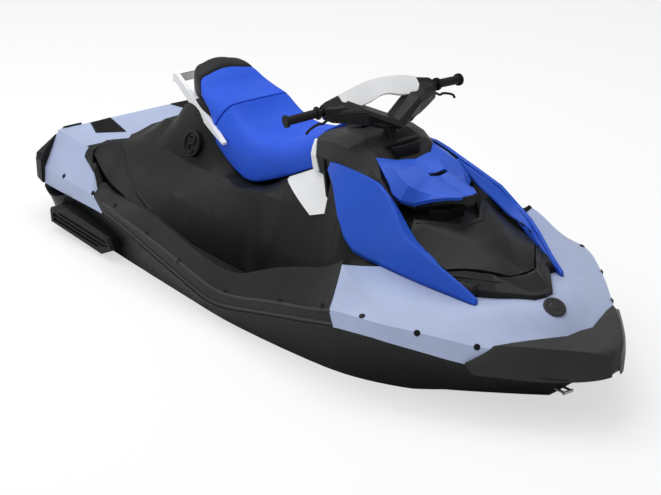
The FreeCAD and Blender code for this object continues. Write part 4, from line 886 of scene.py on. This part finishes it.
# From an end in to the middle: y, and x and z of the bridge's rear and front edge
BRIDGE_ROWS = [(186, 1664, 1099, 1704, 1060), (150, 1671, 1111, 1711, 1056), (112, 1668, 1120, 1713, 1054),
               (64, 1666, 1126, 1715, 1063), (25, 1665, 1129, 1712, 1075), (0, 1665, 1130, 1710, 1077)]
BRIDGE_WALL = 8
LEVER_LINE = [(1690, 250, 1030), (1697, 262, 1024), (1694, 285, 1012), (1694, 300, 1015), (1695, 330, 1008),
              (1696, 350, 999), (1694, 360, 986)]
LEVER_STEPS = 24

bar_black = moulded("bar_black", (0.0095, 0.0095, 0.0100), rough=0.38, grain=0.1, grain_scale=700.0)
grip_rubber = moulded("grip_rubber", (0.010, 0.010, 0.010), rough=0.62, grain=0.5, grain_scale=420.0)
mid_x, mid_z = [(y, x) for y, x, _ in BAR_MID], [(y, z) for y, _, z in BAR_MID]
core = eased("handlebar", "bar_core", bar_black, radius=0.002)
for corner in core.data.vertices:
    reach = abs(corner.co.y) * 1000
    if reach < CORE_HALF and corner.co.z > CORE_LOW:
        middle = yard(straight(mid_x, reach) / 1000, corner.co.y, straight(mid_z, reach) / 1000)
        corner.co = corner.co.lerp(middle, CORE_PULL)
fit(core, "bars", "black_plastic", "handlebar")
rows = BAR_ROWS + [(-y, ring) for y, ring in reversed(BAR_ROWS[:-1])]
arms = ringed("bar_arms", [[(x, y, z) for x, z in ring] for y, ring in rows], bar_black, radius=0.002,
              angle=9.0)
fit(arms, "bars", "black_plastic")
for side, sign in SIDES:
    seam = [mm((ring[2][0] + ring[3][0]) / 2, sign * y, (ring[2][1] + ring[3][1]) / 2)
            for y, ring in BAR_ROWS[1:4]]
    fit(beads("bar_seam_" + side, [seam], radius=0.003, material=rivet_black), "bars", "black_plastic")
bridge = [[(x0, y, z0), (x1, y, z1), (x1 - BRIDGE_WALL, y, z1 - BRIDGE_WALL),
           (x0 - BRIDGE_WALL, y, z0 - BRIDGE_WALL)]
          for y, x0, z0, x1, z1 in BRIDGE_ROWS + [(-row[0],) + row[1:] for row in reversed(BRIDGE_ROWS[:-1])]]
fit(ringed("bar_bridge", bridge, white, radius=0.0025, angle=20.0, segments=3), "bars", "white_plastic",
    "handlebar_cover")
for side, _ in SIDES:
    fit(eased("grip_" + side, "rubber_grip_" + side, grip_rubber, radius=0.003), "bars", "grip_rubber",
        "grip_" + side)
for (_, sign), label in zip(SIDES, ("brake", "throttle")):
    lever = fine([(x, sign * y, z) for x, y, z in LEVER_LINE], LEVER_STEPS)
    fit(beads(label + "_blade", [lever], radius=0.005, material=bar_black), "bars", "black_plastic",
        label + "_lever")

# Fuel filler, sponsons, tow eyes and drain plugs: a black cap with a raised grip turns into its neck on
# the seat base, the sponsons bolt on low down the sides, the eyes are bent stainless rod bolted through
# the hull, and the plugs screw into the stern.

FILLER_MID, FILLER_AXIS = yard(0.747, -0.214, 0.658), Vector((-0.02, -0.96, 0.29)).normalized()
FILLER_HALF = 0.0165
GRIP_RADIUS, RIM_RADIUS = 0.019, 0.049

fit(eased("filler_cap", "filler_lid", rivet_black, radius=0.004), "craft", "black_plastic", "filler_cap")
face_mid, across = FILLER_MID + FILLER_AXIS * FILLER_HALF, Vector((1, 0, 0))
upward = FILLER_AXIS.cross(across).normalized() * -1.0


def dial(radius, start, stop, count, rise=0.0):
    """Arc on the face of the cap, between two angles in degrees."""
    turn = [math.radians(start + (stop - start) * i / count) for i in range(count + 1)]
    return [face_mid + across * (radius * math.cos(t)) + upward * (rise + radius * math.sin(t)) for t in turn]


rim = dial(RIM_RADIUS, start=0, stop=345, count=23)
grip = dial(GRIP_RADIUS, start=20, stop=265, count=14, rise=GRIP_RADIUS)
grip += dial(GRIP_RADIUS, start=90, stop=-160, count=14, rise=-GRIP_RADIUS)
fit(beads("filler_rim", [rim], radius=0.0055, material=lid_black, closed=True), "craft", "black_plastic")
fit(beads("filler_grip", [grip], radius=0.0065, material=lid_black), "craft", "black_plastic")
for side, _ in SIDES:
    fit(eased("sponson_" + side, "sponson_blade_" + side, hull_black, radius=0.004), "craft",
        "black_plastic", "sponson_" + side)
paint_nodes(stainless, "stern_eye_left", "stern_eye_right", "bow_eye")
paint_nodes(drive_black, "drain_plug_left", "drain_plug_right")

# Studio: a plain pale floor at the waterline under three soft panels of light, a pale background that
# the camera sees as white, and the camera at the photograph's angle.

FLOOR_HALF = 40.0
FLOOR_WHITE, WORLD_WHITE = 0.62, 1.0
WORLD_LIGHT = 0.55
# Name, place, size and power of each panel
PANELS = (("key_panel", (1.0, -3.5, 5.0), 4.0, 70), ("top_panel", (-1.0, 0.4, 6.0), 5.0, 215),
          ("stern_panel", (-4.0, -2.5, 3.5), 3.0, 60))
LIT_SPOT = Vector((0, 0, 0.2))
LOOK_AT, DISTANCE = Vector((0.0149, -0.0299, 0.1817)), 8.35
AZIMUTH, ELEVATION = math.radians(52.17), math.radians(22.04)
LENS, SENSOR = 114.75, 36.0


def seen_white(tree, lit, glow_type, share, output):
    """Blends a plain white into what the camera sees of a surface or the sky, and not into its light."""
    path, blend = tree.nodes.new("ShaderNodeLightPath"), tree.nodes.new("ShaderNodeMixShader")
    glow = tree.nodes.new(glow_type)
    glow.inputs["Strength"].default_value = 1.0
    tree.links.new(times(tree, path.outputs["Is Camera Ray"], share), blend.inputs["Fac"])
    tree.links.new(lit.outputs[0], blend.inputs[1])
    tree.links.new(glow.outputs[0], blend.inputs[2])
    tree.links.new(blend.outputs[0], tree.nodes[output].inputs["Surface"])


floor_mesh = bpy.data.meshes.new("studio_floor")
corners = [(x * FLOOR_HALF, y * FLOOR_HALF, 0) for x, y in ((-1, -1), (1, -1), (1, 1), (-1, 1))]
floor_mesh.from_pydata(corners, [], [(0, 1, 2, 3)])
studio_floor = bpy.data.objects.new("studio_floor", floor_mesh)
bpy.context.scene.collection.objects.link(studio_floor)
floor_pale = bpy.data.materials.new("floor_pale")
floor_pale.use_nodes = True
surface = floor_pale.node_tree.nodes["Principled BSDF"]
surface.inputs["Base Color"].default_value = (0.82, 0.82, 0.83, 1)
surface.inputs["Roughness"].default_value = 0.9
seen_white(floor_pale.node_tree, surface, "ShaderNodeEmission", FLOOR_WHITE, "Material Output")
floor_mesh.materials.append(floor_pale)

world = bpy.data.worlds.new("studio_light")
world.use_nodes = True
bpy.context.scene.world = world
sky = world.node_tree.nodes["Background"]
sky.inputs["Color"].default_value = (1, 1, 1, 1)
sky.inputs["Strength"].default_value = WORLD_LIGHT
seen_white(world.node_tree, sky, "ShaderNodeBackground", WORLD_WHITE, "World Output")

for name, place, size, power in PANELS:
    lamp = bpy.data.lights.new(name, "AREA")
    lamp.size = size
    lamp.energy = power
    panel = bpy.data.objects.new(name, lamp)
    panel.location = place
    panel.rotation_euler = (Vector(place) - LIT_SPOT).to_track_quat("Z", "Y").to_euler()
    bpy.context.scene.collection.objects.link(panel)

towards = Vector((math.sin(AZIMUTH) * math.cos(ELEVATION), -math.cos(AZIMUTH) * math.cos(ELEVATION),
                  math.sin(ELEVATION)))
camera_data = bpy.data.cameras.new("camera")
camera_data.sensor_width = SENSOR
camera_data.lens = LENS
camera = bpy.data.objects.new("camera", camera_data)
camera.location = LOOK_AT + towards * DISTANCE
camera.rotation_euler = towards.to_track_quat("Z", "Y").to_euler()
bpy.context.scene.collection.objects.link(camera)
bpy.context.scene.camera = camera
bpy.context.scene.view_settings.view_transform = "Standard"
